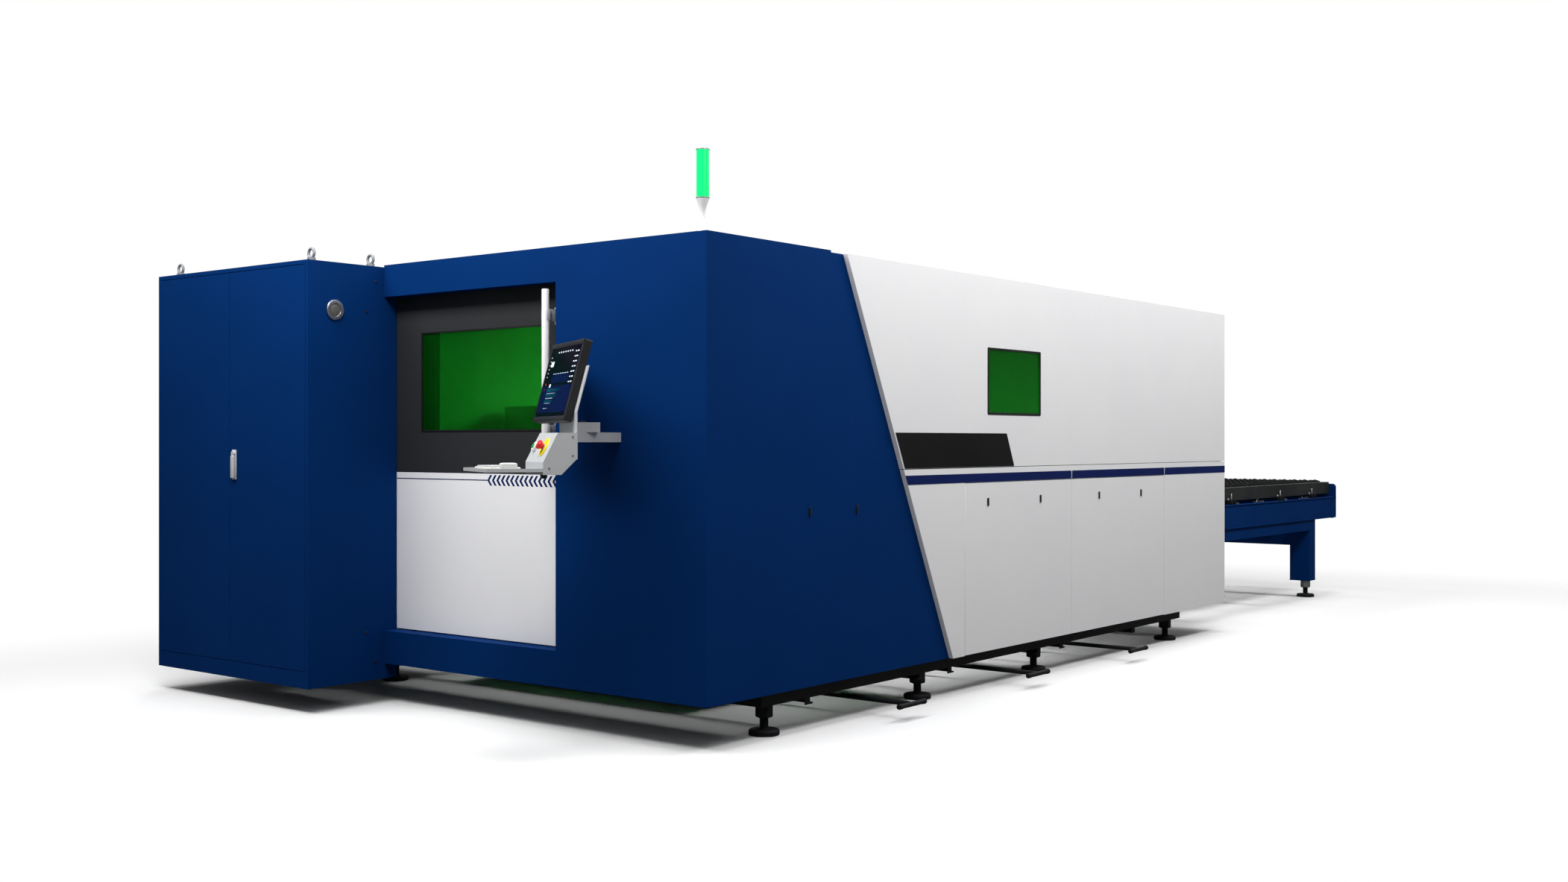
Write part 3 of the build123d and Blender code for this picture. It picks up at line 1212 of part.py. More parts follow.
def tower_base():
    """Waisted base of the signal tower and the domed cap on its lamp."""
    lathe = Plane.XZ * make_face(
        [
            Line((0, 0), (TOWER_FOOT_RADIUS, 0)),
            Spline(
                (TOWER_FOOT_RADIUS, 0),
                (TOWER_WAIST_RADIUS, TOWER_WAIST_Z),
                (TOWER_RADIUS, TOWER_LAMP_Z),
                tangents=((-0.2, 1), (0.3, 1)),
            ),
            Line((TOWER_RADIUS, TOWER_LAMP_Z), (0, TOWER_LAMP_Z)),
            Line((0, TOWER_LAMP_Z), (0, 0)),
        ]
    )
    base = Pos(TOWER_X, TOWER_Y, FRONT_TOP) * revolve(lathe, Axis.Z)
    cap_foot = FRONT_TOP + TOWER_LAMP_Z + TOWER_LAMP_HEIGHT
    cap = Cylinder(TOWER_RADIUS, TOWER_CAP_HEIGHT, align=(Align.CENTER, Align.CENTER, Align.MIN))
    cap = fillet(cap.edges().sort_by(Axis.Z)[-1], TOWER_CAP_HEIGHT * 0.6)
    return [base, Pos(TOWER_X, TOWER_Y, cap_foot) * cap]


def tower_lamp():
    """Lamp cylinder of the signal tower."""
    z = FRONT_TOP + TOWER_LAMP_Z + TOWER_LAMP_HEIGHT / 2
    return [bar("Z", TOWER_X, TOWER_Y, z, TOWER_RADIUS - SEAM / 3, TOWER_LAMP_HEIGHT)]


# Operator console. It is made facing the front, with its pivot at the origin, then turned.


def console_place(shape):
    """Turns a console piece about the pivot and puts it in its place."""
    return Pos(CONSOLE_X, CONSOLE_Y, 0) * Rot(0, 0, -CONSOLE_TURN) * shape


def console_bracket():
    """Fixed lower arm that stands out of the front panel, with the pivot pin on top."""
    half = ARM_WIDTH / 2
    front = CONSOLE_Y - ARM_END
    top = ARM_FOOT + ARM_THICKNESS
    arm = block(CONSOLE_X - half, CONSOLE_X + half, front, 0, ARM_FOOT, top)
    corner = arm.edges().filter_by(Axis.X).group_by(Axis.Y)[0].sort_by(Axis.Z)[-1]
    arm = fillet(corner, ARM_CORNER)
    pin_top = top + ARM_THICKNESS / 2
    arm += bar("Z", CONSOLE_X, CONSOLE_Y, (top + pin_top) / 2, PIVOT_RADIUS, pin_top - top)
    return [arm]


def console_arm():
    """Swivelling upper arm with the bent back plate that carries the monitor and the control box."""
    half = ARM_WIDTH / 2
    foot = ARM_FOOT + ARM_THICKNESS + FIT
    top = foot + ARM_THICKNESS
    arm = block(-half, half, -BACK_OFFSET, ARM_REAR, foot, top)
    pin_depth = ARM_THICKNESS / 2 + SEAM
    arm -= bar("Z", 0, 0, foot + pin_depth / 2 - 1, PIVOT_RADIUS + SHAFT_FIT, pin_depth)
    x1 = BOX_RIGHT
    x0 = x1 - BACK_WIDTH
    front = -BACK_OFFSET - BACK_SHEET
    plate_foot = BOX_TOP - BOX_HEIGHT + BOX_CHAMFER
    plate = block(x0, x1, front, -BACK_OFFSET, plate_foot, BACK_BEND_Z)
    lean = radians(MONITOR_TILT)
    y2 = -BACK_OFFSET + BACK_UPPER_LENGTH * sin(lean)
    z2 = BACK_BEND_Z + BACK_UPPER_LENGTH * cos(lean)
    across = BACK_SHEET / cos(lean)
    outline = [
        (-BACK_OFFSET, BACK_BEND_Z),
        (y2, z2),
        (y2 - across, z2),
        (-BACK_OFFSET - BACK_SHEET, BACK_BEND_Z),
    ]
    plate += side_plate(outline, x0, x1)
    return [console_place(arm + plate)]


def control_box_profile():
    """Side outline of the control box as (y, z) points, from the rear bottom round to the nose."""
    rear = -BACK_OFFSET - BACK_SHEET
    foot = BOX_TOP - BOX_HEIGHT
    return [
        (rear, foot + BOX_CHAMFER),
        (rear, BOX_TOP),
        (rear - BOX_TOP_DEPTH, BOX_TOP),
        (rear - BOX_DEPTH, foot + BOX_NOSE),
        (rear - BOX_DEPTH, foot),
        (rear - BOX_CHAMFER, foot),
    ]


def button_frame(across):
    """Plane on the control box's sloping face, its normal pointing to the operator."""
    points = control_box_profile()
    (y0, z0), (y1, z1) = points[2], points[3]
    slope = Vector(0, y1 - y0, z1 - z0).normalized()
    normal = Vector(0, slope.Z, -slope.Y)
    centre = Vector(BOX_RIGHT - across, (y0 + y1) / 2, (z0 + z1) / 2)
    return Plane(origin=centre, x_dir=(1, 0, 0), z_dir=normal)


def console_button(across, radius, head):
    """Push button with its stem in the control box's hole."""
    plane = button_frame(across)
    lift = BUTTON_TRAVEL + FIT + head / 2
    cap = plane * Pos(0, 0, lift) * Cylinder(radius, head)
    shaft_length = BUTTON_TRAVEL + FIT + BUTTON_STEM
    shaft_middle = BUTTON_TRAVEL + FIT - shaft_length / 2
    shaft = plane * Pos(0, 0, shaft_middle) * Cylinder(BUTTON_STEM_RADIUS, shaft_length)
    return [console_place(cap + shaft)]


def control_box():
    """Sloping control box under the monitor, with the holes of its buttons."""
    body = side_plate(control_box_profile(), BOX_RIGHT - BOX_WIDTH, BOX_RIGHT)
    for across in (ESTOP_ACROSS, START_ACROSS):
        hole = Cylinder(BUTTON_STEM_RADIUS + SHAFT_FIT, 2 * BUTTON_HOLE_DEPTH)
        body -= button_frame(across) * hole
    return [console_place(body)]


def monitor():
    """Tilted flat monitor in front of the back plate."""
    x0, x1 = MONITOR_RIGHT - MONITOR_WIDTH, MONITOR_RIGHT
    panel = block(x0, x1, -MONITOR_THICKNESS, 0, 0, MONITOR_HEIGHT)
    panel = fillet(panel.edges().filter_by(Axis.Y), SEAM * 2)
    y = -BACK_OFFSET - BACK_SHEET / cos(radians(MONITOR_TILT))
    lift = MONITOR_FOOT_Z - BACK_BEND_Z
    placed = Pos(0, y, BACK_BEND_Z) * Rot(-MONITOR_TILT, 0, 0) * Pos(0, 0, lift) * panel
    return [console_place(placed)]


def keyboard_tray():
    """Keyboard tray in front of the control box."""
    nose = -BACK_OFFSET - BACK_SHEET - BOX_DEPTH
    x1 = BOX_RIGHT
    x0 = x1 - TRAY_WIDTH
    z0 = BOX_TOP - BOX_HEIGHT + TRAY_SHEET * 3
    tray = block(x0, x1, nose - TRAY_DEPTH, nose, z0, z0 + TRAY_SHEET)
    tray += block(x0, x1, nose - TRAY_DEPTH, nose - TRAY_DEPTH + TRAY_SHEET, z0, z0 + TRAY_RIM)
    for x in (x0, x1 - TRAY_SHEET):
        tray += block(x, x + TRAY_SHEET, nose - TRAY_DEPTH, nose, z0, z0 + TRAY_RIM)
    return [console_place(tray)]


def build_nodes():
    """Every node of the machine, by name, as a list of its solids."""
    nodes = {
        "bed_frame": bed_frame(),
        "enclosure_frame": enclosure_frame(),
        "levelling_feet": levelling_feet(),
        "gantry_rails": gantry_rails(),
        "front_cover": front_cover(),
        "door_surround": door_surround(),
        "door_track": door_track(),
        "side_panel_upper": side_panel_upper(),
        "side_window": side_window(),
        "side_panel_lower": side_panel_lower(),
        "side_stripe": side_stripe(),
        "side_plate": side_plate_badge(),
        "left_panels": left_panels(),
        "left_bay_cover": left_bay_cover(),
        "roof_panels": roof_panels(),
        "rear_wall": rear_wall(),
        "rear_door": rear_door(),
        "exhaust_duct": exhaust_duct(),
        "cabinet_shell": cabinet_shell(),
        "cabinet_plate": cabinet_plate(),
        "cabinet_door_left": cabinet_door_left(),
        "cabinet_door_right": cabinet_door_right(),
        "cabinet_handle": cabinet_handle(),
        "cabinet_port": cabinet_port(),
        "eye_bolts": eye_bolts(),
        "laser_source": laser_source(),
        "door_panel": door_panel(),
        "door_window": door_window(),
        "door_lower_panel": door_lower_panel(),
        "door_handle": door_handle(),
        "access_door_front": access_door(ACCESS_FRONT_Y, ACCESS_MIDDLE_Y, latch_pair(LATCH_FRONT_Y)),
        "access_door_rear": access_door(ACCESS_MIDDLE_Y, ACCESS_REAR_Y, latch_pair(LATCH_REAR_Y)),
        "gantry_beam": gantry_beam(),
        "gantry_drives": gantry_drives(),
        "carriage": carriage(),
        "z_slide": z_slide(),
        "cutting_head": cutting_head(),
        "upper_pallet": pallet(PALLET_REST_Y, PALLET_FOOTS[0]),
        "lower_pallet": pallet(PALLET_REST_Y - PALLET_TRAVEL, PALLET_FOOTS[1]),
        "table_frame": table_frame(),
        "table_end_plate": table_end_plate(),
        "table_rollers": table_rollers(),
        "tower_base": tower_base(),
        "tower_lamp": tower_lamp(),
        "console_bracket": console_bracket(),
        "console_arm": console_arm(),
        "control_box": control_box(),
        "monitor": monitor(),
        "keyboard_tray": keyboard_tray(),
        "estop_button": console_button(ESTOP_ACROSS, ESTOP_RADIUS, ESTOP_HEAD),
        "start_button": console_button(START_ACROSS, START_RADIUS, START_HEAD),
    }
    stations = latch_pair(LATCH_FRONT_Y) + latch_pair(LATCH_REAR_Y)
    for number, y in enumerate(stations, 1):
        nodes[f"access_latch_{number}"] = latch(PANEL_FACE, y)
    for number, y in enumerate(cover_latch_stations(), 1):
        nodes[f"cover_latch_{number}"] = latch(0, y)
    for number, y in enumerate(DRAWER_STATIONS, 1):
        nodes[f"scrap_drawer_{number}"] = scrap_drawer(y)
    return nodes


def origin_of(nodes):
    """Bottom centre of the box round the whole machine."""
    boxes = [solid.bounding_box() for group in nodes.values() for solid in group]
    left, right = min(box.min.X for box in boxes), max(box.max.X for box in boxes)
    front, rear = min(box.min.Y for box in boxes), max(box.max.Y for box in boxes)
    return Vector((left + right) / 2, (front + rear) / 2, 0)


NODES = build_nodes()
ORIGIN = origin_of(NODES)

if __name__ == "__main__":
    os.makedirs("parts", exist_ok=True)
    for name, solids in NODES.items():
        placed = [Pos(-ORIGIN.X, -ORIGIN.Y, 0) * solid for solid in solids]
        shape = placed[0] if len(placed) == 1 else Compound(children=placed)
        export_step(shape, f"parts/{name}.step")
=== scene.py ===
import logging
from contextlib import contextmanager
from dataclasses import dataclass
from enum import Enum
from math import cos, radians
from typing import Iterator, Sequence

import bpy
from mathutils import Matrix, Vector


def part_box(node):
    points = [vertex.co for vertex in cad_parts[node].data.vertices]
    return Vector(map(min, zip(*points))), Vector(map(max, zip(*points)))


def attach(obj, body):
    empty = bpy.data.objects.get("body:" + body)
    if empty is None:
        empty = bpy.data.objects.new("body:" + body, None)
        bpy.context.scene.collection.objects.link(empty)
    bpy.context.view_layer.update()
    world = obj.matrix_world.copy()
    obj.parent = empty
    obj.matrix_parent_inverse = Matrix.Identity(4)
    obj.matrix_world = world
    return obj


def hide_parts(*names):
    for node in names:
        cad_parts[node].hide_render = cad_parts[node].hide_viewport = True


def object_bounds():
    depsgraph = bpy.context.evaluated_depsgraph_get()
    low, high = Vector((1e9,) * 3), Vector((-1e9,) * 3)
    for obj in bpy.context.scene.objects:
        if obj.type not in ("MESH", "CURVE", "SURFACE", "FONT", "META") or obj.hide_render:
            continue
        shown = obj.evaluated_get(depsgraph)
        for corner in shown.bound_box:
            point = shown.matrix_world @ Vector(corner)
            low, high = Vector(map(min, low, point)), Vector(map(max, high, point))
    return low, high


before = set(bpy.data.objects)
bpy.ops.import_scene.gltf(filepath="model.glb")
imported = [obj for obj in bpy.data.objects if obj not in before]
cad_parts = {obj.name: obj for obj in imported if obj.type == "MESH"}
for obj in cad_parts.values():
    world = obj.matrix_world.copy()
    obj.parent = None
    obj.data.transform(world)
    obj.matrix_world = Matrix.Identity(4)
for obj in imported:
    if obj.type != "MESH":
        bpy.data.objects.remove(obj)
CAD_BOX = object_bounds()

LOG = logging.getLogger("cutting_machine")
MM = 0.001
HOME = Matrix.Identity(4)
PLAIN_WHITE = (1.0, 1.0, 1.0, 1.0)
SMOOTH_DEG = 35.0
WELD_M = 1e-6
CLOUD_SCALE = 1.7
Piece = bpy.types.Object
Tree = bpy.types.NodeTree
Socket = bpy.types.NodeSocket
Point = tuple[float, float, float]
Steps = Sequence[tuple[float, float]]


# Finishes


def linear(code: str) -> tuple[float, float, float, float]:
    """Turns an sRGB colour code into a linear colour, by the sRGB curve.

    Args:
        code: Colour as "#RRGGBB".

    Returns:
        Linear red, green, blue and alpha.
    """
    parts = [int(code[i:i + 2], 16) / 255 for i in (1, 3, 5)]
    return (*(c / 12.92 if c <= 0.04045 else ((c + 0.055) / 1.055) ** 2.4 for c in parts), 1.0)


def add_node(tree: Tree, kind: str, props: dict | None = None,
             inputs: dict | None = None) -> bpy.types.Node:
    """Adds one shader node with its settings, values and links.

    Args:
        tree: Tree that gets the node.
        kind: Blender's name of the node type.
        props: Settings by attribute name.
        inputs: Values or output sockets by input name or number.

    Returns:
        The new node.
    """
    new = tree.nodes.new(kind)
    for key, value in (props or {}).items():
        setattr(new, key, value)
    for key, value in (inputs or {}).items():
        if isinstance(value, Socket):
            tree.links.new(value, new.inputs[key])
        else:
            new.inputs[key].default_value = value
    return new


class Surface(Enum):
    """How a surface was made, which decides its pattern."""

    SPRAYED = "sprayed"
    BRUSHED = "brushed"
    MOULDED = "moulded"
    ROLLED = "rolled"
    POLISHED = "polished"


# Along the grain a pattern runs longer, so its scale is smaller there.
STRETCH = {Surface.BRUSHED: (1.0, 1.0, 0.04), Surface.ROLLED: (0.25, 1.0, 1.0)}


@dataclass(frozen=True)
class Finish:
    """One opaque or clear finish, with its pattern sized in millimetres."""

    name: str
    colour: str
    shade: str
    roughness: float
    surface: Surface
    grain_mm: float
    relief_mm: float
    metallic: float = 0.0
    specular: float = 0.5
    transmission: float = 0.0
    ior: float = 1.45
    glow: float = 0.0
    swing: float = 0.08

    def build(self) -> bpy.types.Material:
        """Makes the material, once.

        Returns:
            The material with its nodes.
        """
        known = bpy.data.materials.get(self.name)
        if known:
            return known
        material = bpy.data.materials.new(self.name)
        material.use_nodes = True
        tree = material.node_tree
        tree.nodes.clear()
        place = add_node(tree, "ShaderNodeTexCoord").outputs["Object"]
        stretch = STRETCH.get(self.surface, (1.0, 1.0, 1.0))
        spot = add_node(tree, "ShaderNodeMapping", inputs={"Vector": place, "Scale": stretch}).outputs[0]
        grain = add_node(tree, "ShaderNodeTexNoise", inputs={
            "Vector": spot, "Scale": 1 / (self.grain_mm * MM), "Detail": 3.0, "Roughness": 0.55})
        cloud = add_node(tree, "ShaderNodeTexNoise", inputs={
            "Vector": place, "Scale": CLOUD_SCALE, "Detail": 4.0, "Roughness": 0.6})
        mix = add_node(tree, "ShaderNodeMix", {"data_type": "RGBA"}, {
            0: self._blend(tree, cloud, grain), 6: linear(self.colour), 7: linear(self.shade)})
        rough = add_node(tree, "ShaderNodeMapRange", inputs={
            "Value": cloud.outputs[0], "From Min": 0.3, "From Max": 0.7,
            "To Min": max(0.0, self.roughness - self.swing), "To Max": self.roughness + self.swing})
        bump = add_node(tree, "ShaderNodeBump", inputs={
            "Height": grain.outputs[0], "Distance": self.relief_mm * MM, "Strength": 0.6})
        shader = add_node(tree, "ShaderNodeBsdfPrincipled", inputs={
            "Base Color": mix.outputs[2], "Roughness": rough.outputs[0], "Normal": bump.outputs[0],
            "Metallic": self.metallic, "Specular IOR Level": self.specular, "IOR": self.ior,
            "Transmission Weight": self.transmission, "Emission Strength": self.glow})
        if self.glow:
            tree.links.new(mix.outputs[2], shader.inputs["Emission Color"])
        add_node(tree, "ShaderNodeOutputMaterial", inputs={"Surface": shader.outputs[0]})
        return material

    def _blend(self, tree: Tree, cloud: bpy.types.Node,
               grain: bpy.types.Node) -> Socket:
        """Mixes slow and fine variation into one factor.

        Args:
            tree: Tree of the material.
            cloud: Slow noise.
            grain: Fine noise.

        Returns:
            Factor between the finish's two colours.
        """
        share = add_node(tree, "ShaderNodeMath", {"operation": "MULTIPLY_ADD"}, {
            0: grain.outputs[0], 1: 0.4, 2: cloud.outputs[0]})
        return add_node(tree, "ShaderNodeMapRange", inputs={
            "Value": share.outputs[0], "From Min": 0.45, "From Max": 1.0}).outputs[0]


# Blue polyester enamel sprayed on sheet steel: an even satin skin with a faint orange peel.
BLUE = Finish("Satin blue enamel", "#052F68", "#052B60", 0.6, Surface.SPRAYED, 9.0, 0.05, specular=0.02)
# White polyester enamel: bright, smooth, with the same fine orange peel.
WHITE = Finish("Satin white enamel", "#EDEDEE", "#E7E7E9", 0.42, Surface.SPRAYED, 9.0, 0.05, specular=0.25)
# Black enamel on heavy weldments: dull, slightly uneven.
BLACK = Finish("Dull black enamel", "#101114", "#17181B", 0.6, Surface.SPRAYED, 6.0, 0.12, specular=0.2)
# Dark grey textured powder coat on the door.
CHARCOAL = Finish("Charcoal powder coat", "#2B2D2F", "#252729", 0.62, Surface.SPRAYED, 2.5, 0.1,
                  specular=0.25)
# Light grey fine-textured powder coat on the console.
GREY = Finish("Light grey powder coat", "#BEC0C2", "#B6B8BA", 0.5, Surface.SPRAYED, 2.5, 0.08,
              specular=0.35)
# White enamel of the roof sheets, painted pale grey as painted shade: white would burn out from above in this
# studio.
ROOF_WHITE_PAINTED_SHADE = Finish("Roof white enamel with painted shade", "#B4B6B8", "#AEB0B2", 0.5, Surface.SPRAYED, 9.0, 0.05, specular=0.2)
# White enamel on the door's lower panel, painted brighter than the side's as painted light, because less
# light falls there.
DOOR_WHITE_PAINTED_LIGHT = Finish("Door white enamel with painted light", "#F8F8FA", "#F4F4F6", 0.42, Surface.SPRAYED, 9.0, 0.05,
                   specular=0.2)
# Graphite enamel on the inner frame.
GRAPHITE = Finish("Graphite enamel", "#3A3E44", "#33363B", 0.5, Surface.SPRAYED, 6.0, 0.08, specular=0.3)
# Ground bearing steel: bright, with fine straight grinding lines.
GROUND_STEEL = Finish("Ground bearing steel", "#B7BABD", "#A3A6AA", 0.28, Surface.BRUSHED, 1.2, 0.02,
                      metallic=1.0)
# Zinc-plated forged steel: pale, softly mottled.
ZINC = Finish("Zinc-plated forged steel", "#A6A8AA", "#8C8F92", 0.42, Surface.MOULDED, 5.0, 0.08,
              metallic=1.0)
# Hot-dip galvanised forging: dull grey, no mirror in it.
GALVANISED = Finish("Hot-dip galvanised forging", "#939495", "#808284", 0.58, Surface.MOULDED, 5.0, 0.1,
                    metallic=0.35)
# Hot-rolled plate with mill scale, scorched by cutting: dark and patchy.
SCALE_STEEL = Finish("Hot-rolled steel with mill scale", "#3A3B3C", "#232425", 0.58, Surface.ROLLED,
                     14.0, 0.2,
                     metallic=0.6, swing=0.14)
# Bead-blasted anodised aluminium: pale satin metal.
ALUMINIUM = Finish("Bead-blasted aluminium", "#C9CBCD", "#B9BBBE", 0.34, Surface.MOULDED, 1.5, 0.03,
                   metallic=1.0)
# Turned brass of the nozzle.
BRASS = Finish("Turned brass", "#D0A44C", "#B98D3C", 0.22, Surface.BRUSHED, 0.8, 0.01, metallic=1.0)
# Laser-safe acrylic: clear, strongly green. Its IOR is below acrylic's 1.49, so that it mirrors less.
SAFETY_GLASS = Finish("Green laser-safe acrylic", "#1FA82C", "#1C9C27", 0.04, Surface.POLISHED, 40.0, 0.0,
                      transmission=0.94, ior=1.12, specular=0.1, swing=0.01)
# Frosted grey glass of the cabinet's port.
PORT_GLASS = Finish("Frosted grey port glass", "#5E5B58", "#504E4C", 0.4, Surface.POLISHED, 12.0, 0.0,
                    specular=0.3)
# Lit green polycarbonate lens.
LAMP = Finish("Lit green polycarbonate", "#06E06A", "#04D45F", 0.25, Surface.POLISHED, 20.0, 0.0, glow=0.85)
# White moulded ABS.
ABS_WHITE = Finish("White moulded ABS", "#F0F0F0", "#E8E8E8", 0.4, Surface.MOULDED, 1.0, 0.02)
# Black moulded ABS with a fine spark-eroded grain.
ABS_BLACK = Finish("Black moulded ABS", "#111214", "#18191B", 0.5, Surface.MOULDED, 0.9, 0.03)
# Glossy red ABS of the mushroom head.
ABS_RED = Finish("Red moulded ABS", "#D8232C", "#C81E27", 0.25, Surface.MOULDED, 2.0, 0.01)
# Glossy green ABS of the run button.
ABS_GREEN = Finish("Green moulded ABS", "#1FA348", "#1B9841", 0.28, Surface.MOULDED, 2.0, 0.01)
# Yellow ABS of the ring round the mushroom head.
ABS_YELLOW = Finish("Yellow moulded ABS", "#F4E411", "#EAD90E", 0.35, Surface.MOULDED, 2.0, 0.01)
# Extruded EPDM rubber of gaskets and pads.
RUBBER = Finish("Extruded EPDM rubber", "#0C0C0D", "#141415", 0.7, Surface.MOULDED, 2.0, 0.05, specular=0.3)
# Navy vinyl film of trim lines.
NAVY_FILM = Finish("Navy vinyl film", "#112158", "#0F1E50", 0.5, Surface.POLISHED, 30.0, 0.0, specular=0.06)
# Black enamel of the side's plate, in the low sheen that it shows.
PIANO_BLACK = Finish("Gloss black enamel", "#161617", "#1A1A1B", 0.4, Surface.SPRAYED, 9.0, 0.02,
                     specular=0.1)

# Charcoal moulded frame of the monitor.
BEZEL = Finish("Charcoal moulded ABS", "#26262A", "#1F1F23", 0.5, Surface.MOULDED, 0.9, 0.02, specular=0.3)
# Beige moulded nylon neck of the mushroom button.
ABS_BEIGE = Finish("Beige moulded nylon", "#CFC8B4", "#C2BBA6", 0.45, Surface.MOULDED, 1.0, 0.02)
# Light grey moulded key tops.
KEY_GREY = Finish("Light grey moulded keys", "#D6D6D2", "#CBCBC7", 0.5, Surface.MOULDED, 1.0, 0.02)
# Coated glass of the display, lit from behind: near black, navy, teal and white fields.
SCREEN_DARK = Finish("Dark display glass", "#050512", "#04040E", 0.18, Surface.POLISHED, 30.0, 0.0,
                     glow=0.5)
SCREEN_NAVY = Finish("Navy display field", "#07103A", "#060D33", 0.18, Surface.POLISHED, 30.0, 0.0,
                     glow=0.6)
SCREEN_TEAL = Finish("Teal display field", "#0E4A5C", "#0C4353", 0.18, Surface.POLISHED, 30.0, 0.0,
                     glow=0.7)
SCREEN_WHITE = Finish("White display mark", "#D8E4F0", "#CCD9E6", 0.18, Surface.POLISHED, 30.0, 0.0,
                      glow=0.7)
# Opal diffuser of the strip lights.
LIT_WHITE = Finish("Lit opal polycarbonate", "#F4F8F4", "#EEF4EE", 0.3, Surface.POLISHED, 20.0, 0.0,
                   glow=3.0)

NODE_FINISHES: dict[str, Finish] = {
    "bed_frame": BLACK, "enclosure_frame": GRAPHITE, "levelling_feet": BLACK, "gantry_rails": GROUND_STEEL,
    "front_cover": BLUE, "door_surround": BLUE, "door_track": GROUND_STEEL, "side_panel_upper": WHITE,
    "side_window": SAFETY_GLASS, "side_panel_lower": WHITE, "side_stripe": NAVY_FILM,
    "side_plate": PIANO_BLACK,
    # The roof sheets take a white darkened as painted shade.
    "left_panels": WHITE, "left_bay_cover": BLUE, "roof_panels": ROOF_WHITE_PAINTED_SHADE, "rear_wall": WHITE,
    "rear_door": CHARCOAL, "exhaust_duct": ZINC, "cabinet_shell": BLUE, "cabinet_plate": ZINC,
    "cabinet_door_left": BLUE, "cabinet_door_right": BLUE, "cabinet_handle": ALUMINIUM,
    "cabinet_port": ALUMINIUM, "eye_bolts": GALVANISED, "laser_source": GREY, "door_panel": CHARCOAL,
    # The door's lower panel takes a white brightened as painted light.
    "door_window": SAFETY_GLASS, "door_lower_panel": DOOR_WHITE_PAINTED_LIGHT, "door_handle": ABS_WHITE,
    "access_door_front": WHITE, "access_door_rear": WHITE, "gantry_beam": ALUMINIUM,
    "gantry_drives": ABS_BLACK, "carriage": ALUMINIUM, "z_slide": WHITE, "cutting_head": ALUMINIUM,
    "upper_pallet": SCALE_STEEL, "lower_pallet": SCALE_STEEL, "table_frame": BLUE, "table_end_plate": BLUE,
    "table_rollers": GROUND_STEEL, "tower_base": ABS_WHITE, "tower_lamp": LAMP, "console_bracket": GREY,
    "console_arm": GREY, "control_box": GREY, "monitor": ABS_BLACK, "keyboard_tray": GREY,
    "estop_button": ABS_RED, "start_button": ABS_GREEN,
    **{f"access_latch_{i}": ABS_BLACK for i in range(1, 5)},
    **{f"cover_latch_{i}": ABS_BLACK for i in range(1, 3)},
    **{f"scrap_drawer_{i}": BLACK for i in range(1, 4)},
}


def dress_nodes() -> None:
    """Gives every CAD node its finish."""
    for name, finish in NODE_FINISHES.items():
        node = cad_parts[name]
        material = finish.build()
        if not node.material_slots:
            node.data.materials.append(material)
        for slot in node.material_slots:
            slot.material = material
        LOG.info("dressed %s in %s", name, finish.name)


# Modelling steps


CORNER = Vector((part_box("front_cover")[1][0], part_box("front_cover")[0][1], 0.0))


class Way(Enum):
    """Directions that a part can face."""

    RIGHT = (1.0, 0.0, 0.0)
    LEFT = (-1.0, 0.0, 0.0)
    REAR = (0.0, 1.0, 0.0)
    FRONT = (0.0, -1.0, 0.0)
    UP = (0.0, 0.0, 1.0)
    DOWN = (0.0, 0.0, -1.0)


def at(x: float, y: float, z: float) -> Vector:
    """Turns millimetres from the casing's front right corner into a point of the frame."""
    return CORNER + Vector((x, y, z)) * MM


def facing(way: Way, x: float, y: float, z: float) -> Matrix:
    """Placement with its Z axis along a direction.

    Args:
        way: Direction of the placement's Z axis.
        x: Place across, in millimetres from the casing's corner.
        y: Place along.
        z: Height.

    Returns:
        The placement.
    """
    turn = Vector(way.value).to_track_quat("Z", "Y").to_matrix().to_4x4()
    return Matrix.Translation(at(x, y, z)) @ turn


def deselect() -> None:
    """Deselects every object."""
    bpy.ops.object.select_all(action="DESELECT")


def hold(piece: Piece) -> None:
    """Makes one object the only selected and the active one."""
    deselect()
    piece.select_set(True)
    bpy.context.view_layer.objects.active = piece


@contextmanager
def editing(everything: bool = True) -> Iterator[None]:
    """Opens the active mesh for editing, and closes it afterwards.

    Args:
        everything: Whether all of the mesh is selected first.

    Yields:
        Nothing, while the mesh is open.
    """
    bpy.ops.object.mode_set(mode="EDIT")
    if everything:
        bpy.ops.mesh.select_all(action="SELECT")
    yield
    bpy.ops.object.mode_set(mode="OBJECT")


def bake_place() -> None:
    """Puts the active object's place, turn and scale into its mesh."""
    bpy.ops.object.transform_apply(location=True, rotation=True, scale=True)


def shift(x: float, y: float, z: float) -> Matrix:
    """Placement moved by millimetres."""
    return Matrix.Translation(Vector((x, y, z)) * MM)


def settle(piece: Piece, name: str, place: Matrix | None = None,
           angle: float = SMOOTH_DEG) -> Piece:
    """Closes a mesh, turns its faces outward and puts its place into it.

    Args:
        piece: Object as modelled.
        name: Its name.
        place: Where it goes, or None where it stands already.
        angle: Largest angle that is shaded smooth, in degrees.

    Returns:
        The finished object, unturned and unscaled at the origin.
    """
    hold(piece)
    for modifier in list(piece.modifiers):
        bpy.ops.object.modifier_apply(modifier=modifier.name)
    bake_place()
    with editing():
        bpy.ops.mesh.remove_doubles(threshold=WELD_M)
        bpy.ops.mesh.normals_make_consistent(inside=False)
    bpy.ops.object.shade_smooth_by_angle(angle=radians(angle))
    if place is not None:
        piece.data.transform(place)
    piece.name = name
    return piece


